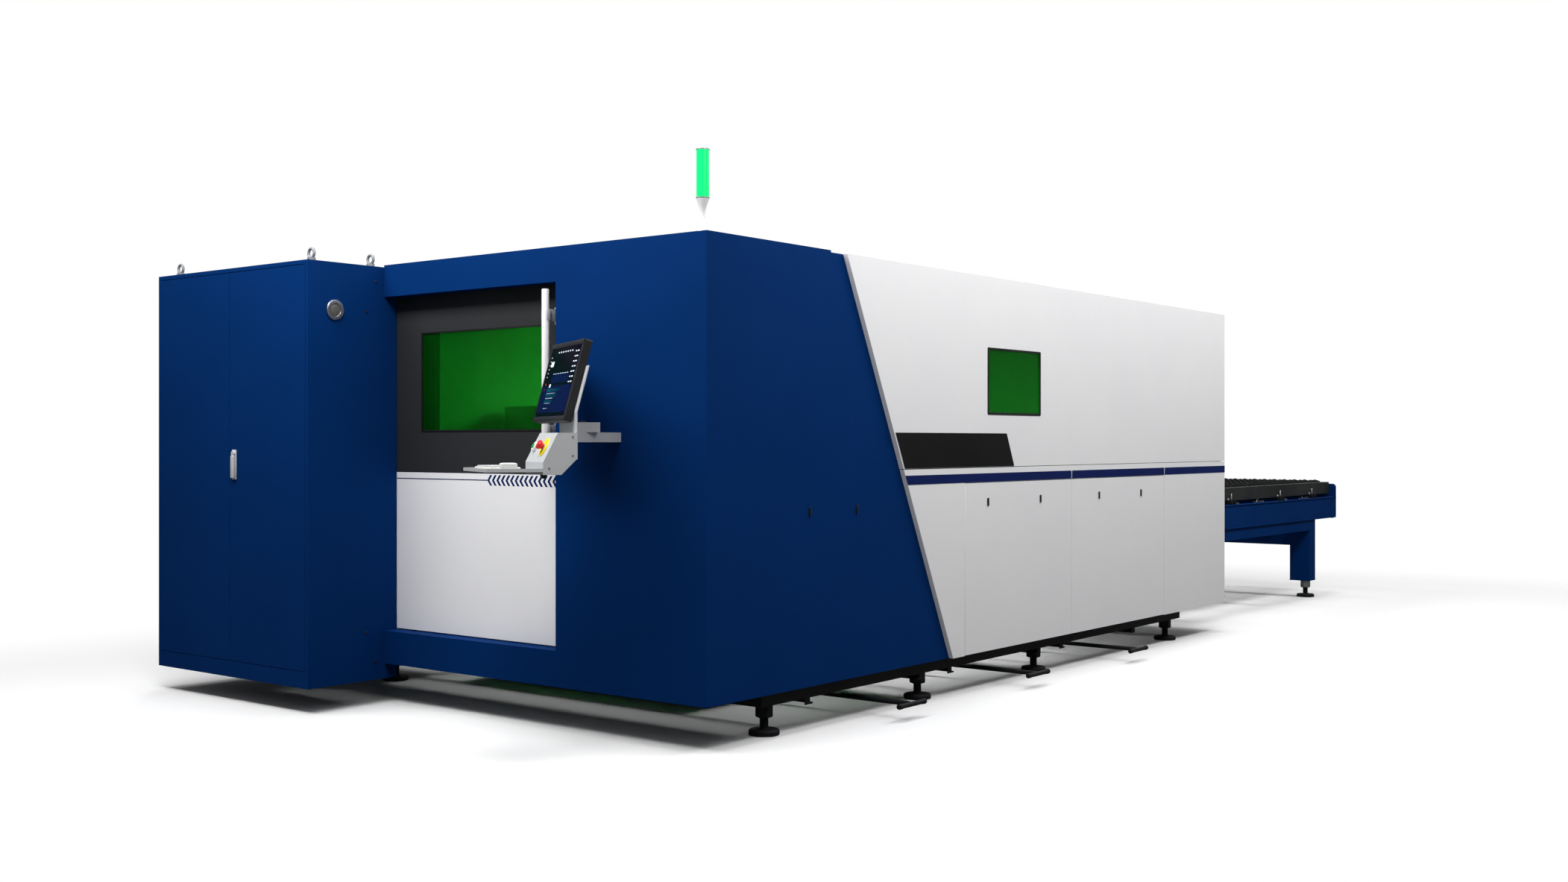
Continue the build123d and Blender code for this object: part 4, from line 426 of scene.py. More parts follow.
def slab(name: str, low: Point, high: Point, edge: float = 1.5, place: Matrix | None = None,
         steps: int = 2) -> Piece:
    """Block with rounded edges between two corners.

    Args:
        name: Name of the piece.
        low: Lowest corner, in millimetres.
        high: Highest corner.
        edge: Radius of its edges.
        place: Placement that the corners are given in, or None for the casing's corner.
        steps: Segments of each edge.

    Returns:
        The piece.
    """
    deselect()
    a, b = Vector(low) * MM, Vector(high) * MM
    bpy.ops.mesh.primitive_cube_add(size=1.0, location=(a + b) / 2, scale=b - a)
    piece = bpy.context.object
    bake_place()
    with editing():
        bpy.ops.mesh.bevel(offset=edge * MM, segments=steps, affect="EDGES")
    return settle(piece, name, Matrix.Translation(CORNER) if place is None else place)


def turned(name: str, profile: Steps, place: Matrix, sides: int = 40, angle: float = SMOOTH_DEG) -> Piece:
    """Turned part, drawn up from a disc step by step.

    Args:
        name: Name of the piece.
        profile: Radius and height of each step, in millimetres, from the foot up.
        place: Placement of its foot and axis.
        sides: Corners of its circle, six for a nut.
        angle: Largest angle that is shaded smooth, in degrees.

    Returns:
        The piece.
    """
    deselect()
    radius, height = profile[0]
    bpy.ops.mesh.primitive_circle_add(vertices=sides, radius=radius * MM, fill_type="NGON",
                                      location=(0.0, 0.0, height * MM))
    piece = bpy.context.object
    bake_place()
    with editing():
        for wide, high in profile[1:]:
            rise = (0.0, 0.0, (high - height) * MM)
            bpy.ops.mesh.extrude_region_move(TRANSFORM_OT_translate={"value": rise})
            grow = wide / radius
            bpy.ops.transform.resize(value=(grow, grow, 1.0), center_override=(0.0, 0.0, high * MM))
            radius, height = wide, high
    return settle(piece, name, place, angle)


def surround(name: str, wide: float, high: float, band: float, thick: float, place: Matrix,
             corner: float = 3.0, edge: float = 0.6) -> Piece:
    """Flat rectangular frame round an opening, standing on its placement's XY plane.

    Args:
        name: Name of the piece.
        wide: Outer width, in millimetres.
        high: Outer height.
        band: Width of its band.
        thick: How far it stands out.
        place: Placement of its centre.
        corner: Radius of its outer corners.
        edge: Radius of its edges.

    Returns:
        The piece.
    """
    deselect()
    bpy.ops.mesh.primitive_plane_add(size=1.0)
    piece = bpy.context.object
    with editing():
        bpy.ops.transform.resize(value=(wide * MM, high * MM, 1.0))
        bpy.ops.mesh.bevel(offset=corner * MM, segments=4, affect="VERTICES")
        bpy.ops.mesh.select_all(action="SELECT")
        bpy.ops.mesh.inset(thickness=band * MM)
        bpy.ops.mesh.delete(type="FACE")
    wall = piece.modifiers.new("wall", "SOLIDIFY")
    wall.thickness = thick * MM
    wall.offset = 1.0
    soft = piece.modifiers.new("edge", "BEVEL")
    soft.width = edge * MM
    soft.segments = 2
    soft.limit_method = "ANGLE"
    return settle(piece, name, place)


def repeated(name: str, piece: Piece, places: Sequence[Matrix]) -> Piece:
    """Copies a piece to several places and joins the copies.

    Args:
        name: Name of the joined piece.
        piece: Piece modelled once, at the origin.
        places: Placement of each copy.

    Returns:
        The joined piece.
    """
    twins = []
    for place in places:
        twin = piece.copy()
        twin.data = piece.data.copy()
        twin.data.transform(place)
        bpy.context.scene.collection.objects.link(twin)
        twins.append(twin)
    bpy.data.objects.remove(piece)
    return joined(name, twins)


def joined(name: str, pieces: Sequence[Piece]) -> Piece:
    """Joins pieces of one finish and one body into one object.

    Args:
        name: Name of the joined piece.
        pieces: Pieces, all at the origin.

    Returns:
        The joined piece.
    """
    hold(pieces[0])
    for other in pieces[1:]:
        other.select_set(True)
    bpy.ops.object.join()
    pieces[0].name = name
    return pieces[0]


def bolts(name: str, places: Sequence[Matrix], radius: float = 7.0) -> Piece:
    """Hexagon bolts with round washers.

    Args:
        name: Name of the piece.
        places: Placement of each bolt, its Z axis out of the surface.
        radius: Radius of the head over its corners, in millimetres.

    Returns:
        All the bolts as one piece.
    """
    disc = ((radius * 1.3, 0.0), (radius * 1.3, radius * 0.15), (radius * 1.2, radius * 0.25))
    hexagon = ((radius, radius * 0.2), (radius, radius * 0.8), (radius * 0.85, radius * 0.95))
    washer = turned("washer", disc, HOME, 24)
    head = turned("head", hexagon, HOME, 6)
    return repeated(name, joined("bolt", [washer, head]), places)


@dataclass
class SubAssembly:
    """Group of pieces that are dressed, put on their bodies and reported."""

    body: str = "machine"

    def add(self, piece: Piece, finish: Finish, body: str = "") -> Piece:
        """Dresses a piece and makes it ride on a body.

        Args:
            piece: Finished piece.
            finish: What it is made of.
            body: Body that carries it, or none for the group's own.

        Returns:
            The piece.
        """
        piece.data.materials.clear()
        piece.data.materials.append(finish.build())
        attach(piece, body or self.body)
        LOG.info("made %s in %s, %d faces", piece.name, finish.name, len(piece.data.polygons))
        return piece


# Front door


@dataclass
class FrontDoor(SubAssembly):
    """Window gasket, arrows, trim line and tube handle of the sliding door."""

    body: str = "front_door"
    face: float = 81.0
    window_left: float = -1953.0
    window_foot: float = 1373.0
    window_wide: float = 873.0
    window_high: float = 490.0
    arrow_count: int = 16
    arrow_left: float = -1463.0
    arrow_right: float = -950.0
    arrow_foot: float = 1108.0
    arrow_high: float = 51.0
    arrow_share: float = 0.46
    arrow_point: float = 0.6
    film: float = 0.4
    line_left: float = -2149.0
    line_high: float = 5.0
    handle_x: float = -975.0
    handle_foot: float = 1250.0
    handle_long: float = 770.0
    handle_radius: float = 17.5
    handle_reach: float = 81.0
    post_setback: float = 119.0

    def build(self) -> None:
        """Makes the door's details."""
        self.gasket()
        self.arrows()
        self.handle()

    def gasket(self) -> None:
        """Rubber gasket round the window."""
        band = 9.0
        middle = facing(Way.FRONT, self.window_left + self.window_wide / 2, self.face,
                        self.window_foot + self.window_high / 2)
        ring = surround("door_window_gasket", self.window_wide + band, self.window_high + band, band, 2.4,
                        middle, 6.0)
        self.add(ring, RUBBER)

    def arrows(self) -> None:
        """Row of arrowheads that shows which way the door slides, with its thin line."""
        pitch = (self.arrow_right - self.arrow_left) / self.arrow_count
        band = pitch * self.arrow_share
        deselect()
        bpy.ops.mesh.primitive_plane_add(size=1.0)
        arrow = bpy.context.object
        with editing():
            bpy.ops.transform.resize(value=(band * MM, self.arrow_high * MM, 1.0))
            bpy.ops.mesh.subdivide(number_cuts=1)
            bpy.ops.mesh.select_all(action="DESELECT")
        for corner in arrow.data.vertices:
            corner.select = abs(corner.co.y) < WELD_M
        with editing(False):
            bpy.ops.transform.translate(value=(-pitch * self.arrow_point * MM, 0.0, 0.0))
        wall = arrow.modifiers.new("film", "SOLIDIFY")
        wall.thickness = self.film * MM
        wall.offset = 1.0
        settle(arrow, "arrow")
        middle = self.arrow_foot + self.arrow_high / 2
        places = [facing(Way.FRONT, self.arrow_left + pitch * (i + 0.8), self.face, middle)
                  for i in range(self.arrow_count)]
        self.add(repeated("door_arrows", arrow, places), NAVY_FILM)
        half = self.line_high / 2
        line = slab("door_line", (self.line_left, self.face - self.film, middle - half),
                    (self.arrow_left, self.face, middle + half), 0.1)
        self.add(line, NAVY_FILM)

    def handle(self) -> None:
        """White tube handle with rounded plugs, held by two grey blocks with screws."""
        x, radius, end = self.handle_x, self.handle_radius, self.handle_long
        y = self.face - self.handle_reach
        profile = ((radius - 3, 0.0), (radius - 0.8, 1.0), (radius, 3.5), (radius, end - 3.5),
                   (radius - 0.8, end - 1), (radius - 3, end))
        tube = turned("door_handle_tube", profile, facing(Way.UP, x, y, self.handle_foot), 48)
        self.add(tube, ABS_WHITE)
        levels = (self.handle_foot + self.post_setback, self.handle_foot + end - self.post_setback)
        # Half width, front, rear, half height and edge of each post's web, clamp and foot.
        shapes = ((11, y + 4, self.face, 28, 3.0), (21, y - 9, y + 19, 28, 6.0),
                  (19, self.face - 6, self.face, 40, 2.0))
        blocks = [slab("post", (x - half, front, z - tall), (x + half, rear, z + tall), edge)
                  for z in levels for half, front, rear, tall, edge in shapes]
        self.add(joined("door_handle_posts", blocks), GREY)
        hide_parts("door_handle")
        screws = [facing(Way.FRONT, x, self.face - 6, z + side * 34) for z in levels for side in (-1, 1)]
        self.add(bolts("door_handle_screws", screws, 4.0), ZINC)


# Electrical cabinet


@dataclass
class Cabinet(SubAssembly):
    """Swing handle, port glass, screws and wiring ducts of the electrical cabinet."""

    right: float = -2149.0
    left: float = -3477.0
    front: float = -450.0
    rear: float = 78.0
    handle_x: float = -2767.5
    handle_z: float = 1203.5
    handle_wide: float = 39.0
    handle_high: float = 151.0
    port_y: float = -298.0
    port_z: float = 1965.0
    screw_spots: Steps = ((-53.0, 2122.0), (-109.0, 1970.0), (-53.0, 214.0), (-109.0, 366.0))
    duct_levels: tuple[float, ...] = (300.0, 735.0, 1195.0, 1655.0, 2095.0)
    duct_long: float = 1120.0
    duct_setback: float = 22.0

    def build(self) -> None:
        """Makes the cabinet's details."""
        self.lever()
        self.port()
        self.screws()
        self.wiring()

    def lever(self) -> None:
        """Escutcheon with a lock cylinder, and the lever that swings out of it."""
        x, z = self.handle_x, self.handle_z
        w, h = self.handle_wide / 2, self.handle_high / 2
        plate = slab("cabinet_escutcheon", (x - w, self.front - 4.5, z - h), (x + w, self.front, z + h), 2.0)
        self.add(plate, GREY, "cabinet_right_leaf")
        grip = slab("cabinet_lever", (x - w + 6, self.front - 18, z - h + 6),
                    (x + w - 6, self.front - 4.8, z + h - 30), 4.5, steps=4)
        hub = turned("hub", ((14.0, 4.8), (14.0, 12.0), (12.0, 14.5), (5.0, 15.0)),
                     facing(Way.FRONT, x, self.front, z + h - 20))
        lever = joined("cabinet_lever", [grip, hub])
        self.add(lever, GREY, "cabinet_lever")
        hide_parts("cabinet_handle")

    def port(self) -> None:
        """Dark domed glass in the port's ring."""
        dome = ((33.0, 0.3), (33.0, 3.0), (31.5, 6.0), (27.0, 8.6), (18.0, 10.2), (8.0, 10.9))
        place = facing(Way.RIGHT, self.right, self.port_y, self.port_z)
        self.add(turned("cabinet_port_glass", dome, place, 48), PORT_GLASS)

    def screws(self) -> None:
        """Screws on the cabinet's right side."""
        places = [facing(Way.RIGHT, self.right, y, z) for y, z in self.screw_spots]
        self.add(bolts("cabinet_side_screws", places, 5.5), ABS_BLACK)

    def wiring(self) -> None:
        """Wiring ducts between the rows of modules."""
        half = self.duct_long / 2
        duct = slab("duct", (-half, -24.0, -16.0), (half, 0.0, 16.0), 1.5, HOME)
        middle = (self.left + self.right) / 2
        places = [Matrix.Translation(at(middle, self.rear - self.duct_setback, z)) for z in self.duct_levels]
        self.add(repeated("cabinet_wiring_ducts", duct, places), GREY)


# Casing


@dataclass
class Casing(SubAssembly):
    """Window gasket of the side panel, white pieces as painted highlight on its seams, latch levers and
    ceiling lights.
    """

    panel_face: float = 25.0
    window_y: float = 2267.0
    window_long: float = 569.0
    window_foot: float = 1470.0
    window_high: float = 347.0
    latch_z: float = 998.0
    latch_stations: tuple[float, ...] = (2264.0, 2840.0, 3563.0, 4139.0)
    cover_stations: tuple[float, ...] = (720.0, 1090.0)
    grip_from: float = 4.6
    grip_proud: float = 7.5
    light_long: float = 1400.0
    light_foot: float = 2150.0
    light_stations: tuple[float, ...] = (1500.0, 3300.0)
    light_sides: tuple[tuple[str, float], ...] = (("left", -2760.0), ("right", -95.0))
    # The seam bead and the stripe joints are white pieces that stand in for the highlight on seam edges:
    # painted highlight. The joints sit at the panels' real breaks.
    bead_y: float = 2032.5
    bead_foot: float = 206.0
    bead_top: float = 1100.0
    bead_radius: float = 1.4
    stripe_foot: float = 1105.0
    stripe_top: float = 1151.0
    stripe_breaks: tuple[float, ...] = (3214.0, 4487.0)
    joint_wide: float = 5.0
    joint_proud: float = 2.2

    def build(self) -> None:
        """Makes the casing's details."""
        self.gasket()
        self.seam_highlights()
        self.latch_grips()
        self.lights()

    def gasket(self) -> None:
        """Rubber gasket round the side window."""
        band = 12.0
        middle = facing(Way.RIGHT, self.panel_face, self.window_y + self.window_long / 2,
                        self.window_foot + self.window_high / 2)
        ring = surround("side_window_gasket", self.window_long + band, self.window_high + band, band, 3.0,
                        middle, 8.0)
        self.add(ring, RUBBER)

    def seam_highlights(self) -> None:
        """White bead down the front panel's seam, and white bars across the stripe at its joints: white
        pieces that stand in for the highlight on the seam edges, painted highlight.
        """
        face, radius, high = self.panel_face, self.bead_radius, self.bead_top - self.bead_foot
        profile = ((radius * 0.6, 0.0), (radius, 1.0), (radius, high - 1.0), (radius * 0.6, high))
        bead = turned("side_seam_highlight_bead", profile, facing(Way.UP, face, self.bead_y, self.bead_foot), 16)
        self.add(bead, ABS_WHITE)
        half = self.joint_wide / 2
        joints = [slab("joint", (face, y - half, self.stripe_foot),
                       (face + self.joint_proud, y + half, self.stripe_top), 0.4) for y in self.stripe_breaks]
        self.add(joined("side_stripe_joint_highlights", joints), ABS_WHITE)

    def latch_grips(self) -> None:
        """Raised thumb bar on each turn latch."""
        owners = [(self.panel_face, y, f"latch_{i}") for i, y in enumerate(self.latch_stations, 1)]
        owners += [(0.0, y, f"cover_turnlatch_{i}") for i, y in enumerate(self.cover_stations, 1)]
        for face, y, body in owners:
            grip = slab(f"{body}_grip", (face + self.grip_from, y - 3.0, self.latch_z - 17),
                        (face + self.grip_proud, y + 3.0, self.latch_z + 17), 1.2)
            self.add(grip, ABS_BLACK, body)

    def lights(self) -> None:
        """Strip lights under the roof: an aluminium channel with a white diffuser."""
        foot = self.light_foot
        for i, y in enumerate(self.light_stations, 1):
            end = y + self.light_long
            for side, x in self.light_sides:
                shell = slab(f"light_channel_{side}_{i}", (x - 22, y, foot), (x + 22, end, foot + 22), 2.0)
                self.add(shell, ALUMINIUM)
                glow = slab(f"light_diffuser_{side}_{i}", (x - 18, y + 8, foot - 7),
                            (x + 18, end - 8, foot), 3.0)
                self.add(glow, LIT_WHITE)


# Signal tower


@dataclass
class SignalTower(SubAssembly):
    """Ribbed lens, plated rings and foot flange of the signal tower."""

    x: float = -62.0
    y: float = 48.0
    foot: float = 2357.0
    high: float = 205.0
    radius: float = 28.0
    rib_count: int = 22
    groove: float = 0.8
    flange_foot: float = 2210.0

    def build(self) -> None:
        """Makes the lens with its rings, and the flange at the tower's foot."""
        pitch = self.high / self.rib_count
        profile = [(self.radius - self.groove, 0.0)]
        for i in range(self.rib_count):
            profile.append((self.radius, pitch * (i + 0.5)))
            profile.append((self.radius - self.groove, pitch * (i + 1)))
        lens = turned("tower_lens", profile, facing(Way.UP, self.x, self.y, self.foot), 48, 20.0)
        self.add(lens, LAMP)
        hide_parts("tower_lamp")
        ring = turned("ring", ((self.radius, -3.0), (self.radius + 1.4, -2.2), (self.radius + 1.4, 1.2),
                               (self.radius, 2.0)), HOME, 48)
        places = [facing(Way.UP, self.x, self.y, z) for z in (self.foot, self.foot + self.high)]
        self.add(repeated("tower_rings", ring, places), ZINC)
        flange = turned("tower_flange", ((27.0, 0.0), (27.0, 2.5), (25.0, 4.5), (22.5, 5.0)),
                        facing(Way.UP, self.x, self.y, self.flange_foot), 48)
        self.add(flange, ABS_WHITE)


# Operator console


@dataclass
class Console(SubAssembly):
    """Screen, keyboard, buttons and fixings of the swivelling console."""

    body: str = "console"
    pivot_x: float = -536.0
    pivot_y: float = -205.0
    turn: float = -29.0
    plate_rear: float = -85.0
    plate_thick: float = 4.0
    bend_z: float = 1444.0
    tilt: float = -15.0
    monitor_lift: float = -46.0
    monitor_left: float = -323.0
    monitor_right: float = 212.0
    monitor_high: float = 356.0
    monitor_thick: float = 32.0
    rim: float = 22.0
    box_right: float = 250.0
    slope_top: Point = (0.0, -168.0, 1357.0)
    slope_foot: Point = (0.0, -231.0, 1235.0)
    stop_x: float = 152.0
    run_x: float = 10.0
    tray_left: float = -200.0
    tray_top: float = 1199.0
    tray_tip: float = -467.0
    key_rows: int = 5
    key_columns: int = 15
    key_pitch: float = 19.0
    cap_foot: float = 1402.8
    screw_spots: Steps = ((-105.0, 1340.0), (-105.0, 1262.0), (-205.0, 1210.0))
    gland: Point = (100.0, -190.0, 1183.0)

    def home(self) -> Matrix:
        """Placement of the console's pivot at rest."""
        pivot = Matrix.Translation(at(self.pivot_x, self.pivot_y, 0.0))
        return pivot @ Matrix.Rotation(radians(self.turn), 4, "Z")

    def monitor_face(self) -> Matrix:
        """Placement of the monitor's lower left front corner, X along its foot, Y up its face."""
        rear = self.plate_rear - self.plate_thick / cos(radians(self.tilt))
        lean = Matrix.Rotation(radians(self.tilt), 4, "X")
        corner = shift(self.monitor_left, -self.monitor_thick, self.monitor_lift)
        stand = Matrix.Rotation(radians(90), 4, "X")
        return self.home() @ shift(0.0, rear, self.bend_z) @ lean @ corner @ stand

    def slope(self, across: float) -> Matrix:
        """Placement on the control box's sloping face, its Z axis towards the operator.

        Args:
            across: Place across from the pivot, in millimetres.

        Returns:
            The placement.
        """
        top, foot = Vector(self.slope_top), Vector(self.slope_foot)
        down = (foot - top).normalized()
        out = Vector((0.0, down.z, -down.y))
        middle = (top + foot) / 2 + Vector((across, 0.0, 0.0))
        turn = out.to_track_quat("Z", "Y").to_matrix().to_4x4()
        return self.home() @ Matrix.Translation(middle * MM) @ turn

    def build(self) -> None:
        """Makes the console's details."""
        self.screen()
        self.keyboard()
        self.buttons()
        self.fixings()

    def screen(self) -> None:
        """Bezel and lit display with plain blocks of colour where the controls are."""
        face = self.monitor_face()
        wide, high = self.monitor_right - self.monitor_left, self.monitor_high
        middle = face @ shift(wide / 2, high / 2, 0.0)
        rim = self.rim
        self.add(surround("monitor_bezel", wide, high, rim, 2.5, middle, 8.0, 1.0), BEZEL)
        left, right, foot, top = rim, wide - rim, rim + 12, high - rim
        glass = slab("monitor_glass", (left - 1, foot - 13, 0.2), (right + 1, top + 1, 0.8), 0.2, face, 1)
        self.add(glass, SCREEN_DARK)
        tall = top - foot
        span = right - left

        def tile(a: float, b: float, c: float, d: float) -> Piece:
            """One block of the display between two shares of its width and two of its height."""
            return slab("tile", (left + span * a, foot + tall * b, 0.8),
                        (left + span * c, foot + tall * d, 1.1), 0.1, face, 1)

        ground = [tile(0.02, 0.02, 0.98, 0.42), tile(0.24, 0.46, 0.80, 0.60)]
        self.add(joined("display_ground", ground), SCREEN_NAVY)
        pale = [tile(0.10, 0.72, 0.19, 0.80), tile(0.22, 0.40, 0.27, 0.45)]
        for row in range(7):
            level = 0.90 - row * 0.075
            pale.append(tile(0.84, level, 0.875, level + 0.018))
            pale.append(tile(0.90, level, 0.95, level + 0.018))
        for row in range(6):
            level = 0.86 - row * 0.06
            pale.append(tile(0.05, level, 0.075, level + 0.012))
        for column in range(7):
            pale.append(tile(0.26 + column * 0.075, 0.92, 0.29 + column * 0.075, 0.94))
            pale.append(tile(0.26 + column * 0.075, 0.60, 0.31 + column * 0.075, 0.607))
        for row in range(4):
            pale.append(tile(0.20, 0.08 + row * 0.075, 0.34 + 0.05 * row, 0.09 + row * 0.075))
        self.add(joined("display_marks", pale), SCREEN_WHITE)
        teal = [tile(0.18, 0.24, 0.55, 0.31), tile(0.18, 0.335, 0.62, 0.38), tile(0.18, 0.16, 0.44, 0.21)]
        self.add(joined("display_fields", teal), SCREEN_TEAL)
        flags = [tile(0.07, 0.44, 0.095, 0.47), tile(0.07, 0.36, 0.09, 0.385)]
        self.add(joined("display_flags", flags), ABS_RED)

    def keyboard(self) -> None:
        """Keyboard with blank keys, and a mouse beside it."""
        home = self.home()
        left = self.tray_left + 16
        front = self.tray_tip + 46
        wide = self.key_columns * self.key_pitch + 14
        deep = self.key_rows * self.key_pitch + 34
        z = self.tray_top
        case = slab("keyboard_case", (left, front, z), (left + wide, front + deep, z + 15), 3.5, home, 3)
        self.add(case, KEY_GREY)
        key = slab("key", (-8.2, -8.2, 0.0), (8.2, 8.2, 6.5), 1.8, HOME)
        places = []
        for row in range(self.key_rows):
            for column in range(self.key_columns):
                x = left + 16 + column * self.key_pitch
                y = front + 17 + row * self.key_pitch
                places.append(home @ shift(x, y, z + 14))
        self.add(repeated("keyboard_keys", key, places), GREY)
        deselect()
        bpy.ops.mesh.primitive_cube_add(size=1.0, location=(0.0, 0.0, 17 * MM),
                                        scale=(58 * MM, 98 * MM, 34 * MM))
        mouse = bpy.context.object
        bake_place()
        with editing():
            bpy.ops.mesh.subdivide(number_cuts=2)
        for corner in mouse.data.vertices:
            corner.select = corner.co.z > 30 * MM
        with editing(False):
            bpy.ops.transform.resize(value=(0.72, 0.72, 1.0), center_override=(0.0, -6 * MM, 0.0))
        skin = mouse.modifiers.new("skin", "SUBSURF")
        skin.levels = skin.render_levels = 3
        spot = home @ shift(left + wide + 62, front + deep / 2, z)
        self.add(settle(mouse, "console_mouse", spot, 60.0), KEY_GREY)

    def buttons(self) -> None:
        """Mushroom head over its yellow ring, and the run button in its white collar."""
        stop, run = self.slope(self.stop_x), self.slope(self.run_x)
        ring = ((42.0, 0.1), (42.0, 2.4), (40.0, 4.4), (20.0, 4.4), (17.0, 3.4))
        self.add(turned("stop_ring", ring, stop, 56), ABS_YELLOW)
        self.add(turned("stop_neck", ((17.0, 0.2), (17.0, 5.2), (15.0, 6.0)), stop), ABS_BEIGE)
        mushroom = ((8.0, -8.0), (8.0, 6.3), (11.5, 7.5), (12.5, 14.0), (19.0, 20.0), (20.0, 23.0),
                    (20.0, 28.0), (18.5, 31.5), (15.0, 33.4), (8.0, 34.3))
        head = self.add(turned("stop_head", mushroom, stop, 48), ABS_RED, "stop_button")
        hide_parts("estop_button")
        collar = ((20.0, 0.1), (20.0, 12.5), (18.6, 14.2), (12.8, 14.2), (12.6, 12.0))
        self.add(turned("run_collar", collar, run, 48), ABS_WHITE)
        dome = ((8.0, -8.0), (8.0, 6.2), (12.0, 6.6), (12.0, 15.5), (10.5, 17.6), (7.0, 18.3))
        lens = self.add(turned("run_lens", dome, run, 48), ABS_GREEN, "run_button")
        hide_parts("start_button")

    def fixings(self) -> None:
        """Pivot cap, the box's cover screws and its cable gland."""
        home = self.home()
        cap = turned("console_pivot_cap", ((21.0, 0.0), (21.0, 4.0), (19.0, 6.5), (9.0, 7.5)),
                     home @ shift(0.0, 0.0, self.cap_foot), 48)
        self.add(cap, ABS_BLACK)
        out = Matrix.Rotation(radians(90), 4, "Y")
        places = [home @ shift(self.box_right, y, z) @ out for y, z in self.screw_spots]
        self.add(bolts("console_box_screws", places, 3.2), ZINC)
        profile = ((15.0, 0.0), (15.0, 8.0), (12.0, 10.0), (12.0, 16.0), (9.0, 19.0))
        down = Matrix.Rotation(radians(180), 4, "X")
        self.add(turned("console_cable_gland", profile, home @ shift(*self.gland) @ down, 24), ABS_BLACK)


# Gantry


@dataclass
class Gantry(SubAssembly):
    """Energy chain, cutting head and fixings of the gantry."""

    body: str = "gantry"
    centre_x: float = -1415.0
    head_y: float = 1194.7
    beam_front: float = 1370.0
    beam_rear: float = 1630.0
    beam_top: float = 1528.0
    tray_left: float = -2560.0
    tray_right: float = -270.0
    tray_thick: float = 4.0
    link_left: float = -2500.0
    link_count: int = 44
    link_pitch: float = 50.0
    bolt_left: float = -2555.0
    bolt_span: float = 2280.0
    bolt_count: int = 20
    housing_foot: float = 1150.0
    housing_top: float = 1420.0
    barrel_foot: float = 1085.0
    nozzle_foot: float = 1055.0
    motor_sides: tuple[tuple[str, float], ...] = (("left", -2687.0), ("right", -143.0))

    def build(self) -> None:
        """Makes the gantry's details."""
        self.chain()
        self.head()
        self.motors()
        self.cover_bolts()

    def chain(self) -> None:
        """Energy chain lying in its tray on the beam."""
        floor = self.beam_top + self.tray_thick
        tray = slab("chain_tray", (self.tray_left, self.beam_rear - 96, self.beam_top),
                    (self.tray_right, self.beam_rear - 8, floor), 1.0)
        self.add(tray, ZINC)
        link = slab("link", (-22.0, -34.0, 0.0), (22.0, 34.0, 38.0), 5.0, HOME)
        places = [Matrix.Translation(at(self.link_left + self.link_pitch * i, self.beam_rear - 52, floor))
                  for i in range(self.link_count)]
        self.add(repeated("energy_chain", link, places), ABS_BLACK)

    def head(self) -> None:
        """Cutting head: housing, lens drawer, band, barrel, brass nozzle and the fibre's collar."""
        x, y = self.centre_x, self.head_y
        body = "head_slide"
        shell = slab("head_housing", (x - 48, y - 42, self.housing_foot), (x + 48, y + 42, self.housing_top),
                     7.0, steps=3)
        self.add(shell, ALUMINIUM, body)
        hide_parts("cutting_head")
        drawer = slab("head_lens_drawer", (x - 30, y - 47, 1180.0), (x + 30, y - 41, 1222.0), 2.5)
        self.add(drawer, ABS_BLACK, body)
        self.add(slab("head_band", (x - 49, y - 43, 1300.0), (x + 49, y + 41, 1322.0), 3.0), BLUE, body)
        barrel = ((20.0, 0.0), (30.0, 4.0), (30.0, 14.0), (26.0, 15.0), (26.0, 24.0), (32.0, 26.0),
                  (32.0, 46.0), (29.0, 47.5), (29.0, 53.0), (32.0, 54.5), (32.0, 66.0))
        self.add(turned("head_barrel", barrel, facing(Way.UP, x, y, self.barrel_foot), 48), ZINC, body)
        nozzle = ((4.0, 0.0), (5.0, 1.0), (12.5, 15.0), (12.5, 20.0), (18.0, 22.0), (18.0, 30.0))
        self.add(turned("head_nozzle", nozzle, facing(Way.UP, x, y, self.nozzle_foot), 40), BRASS, body)
        collar = ((24.0, 0.0), (24.0, 30.0), (18.0, 34.0), (18.0, 60.0), (13.0, 66.0), (13.0, 96.0))
        place = facing(Way.UP, x, y, self.housing_top)
        self.add(turned("head_fibre_collar", collar, place, 40), ABS_BLACK, body)

    def motors(self) -> None:
        """Flanges and plugs of the two servo motors."""
        for side, x in self.motor_sides:
            flange = slab(f"motor_flange_{side}", (x - 47, 1775.0, 1336.0), (x + 47, 1869.0, 1346.0), 3.0)
            self.add(flange, ALUMINIUM)
            plug = slab(f"motor_plug_{side}", (x - 14, 1760.0, 1500.0), (x + 14, 1785.0, 1540.0), 4.0)
            self.add(plug, ABS_BLACK)

    def cover_bolts(self) -> None:
        """Screws along the top of the beam."""
        step = self.bolt_span / (self.bolt_count - 1)
        places = [facing(Way.UP, self.bolt_left + step * i, self.beam_front + 24.0, self.beam_top)
                  for i in range(self.bolt_count)]
        self.add(bolts("beam_cover_bolts", places, 5.0), ZINC)


# Exchange table


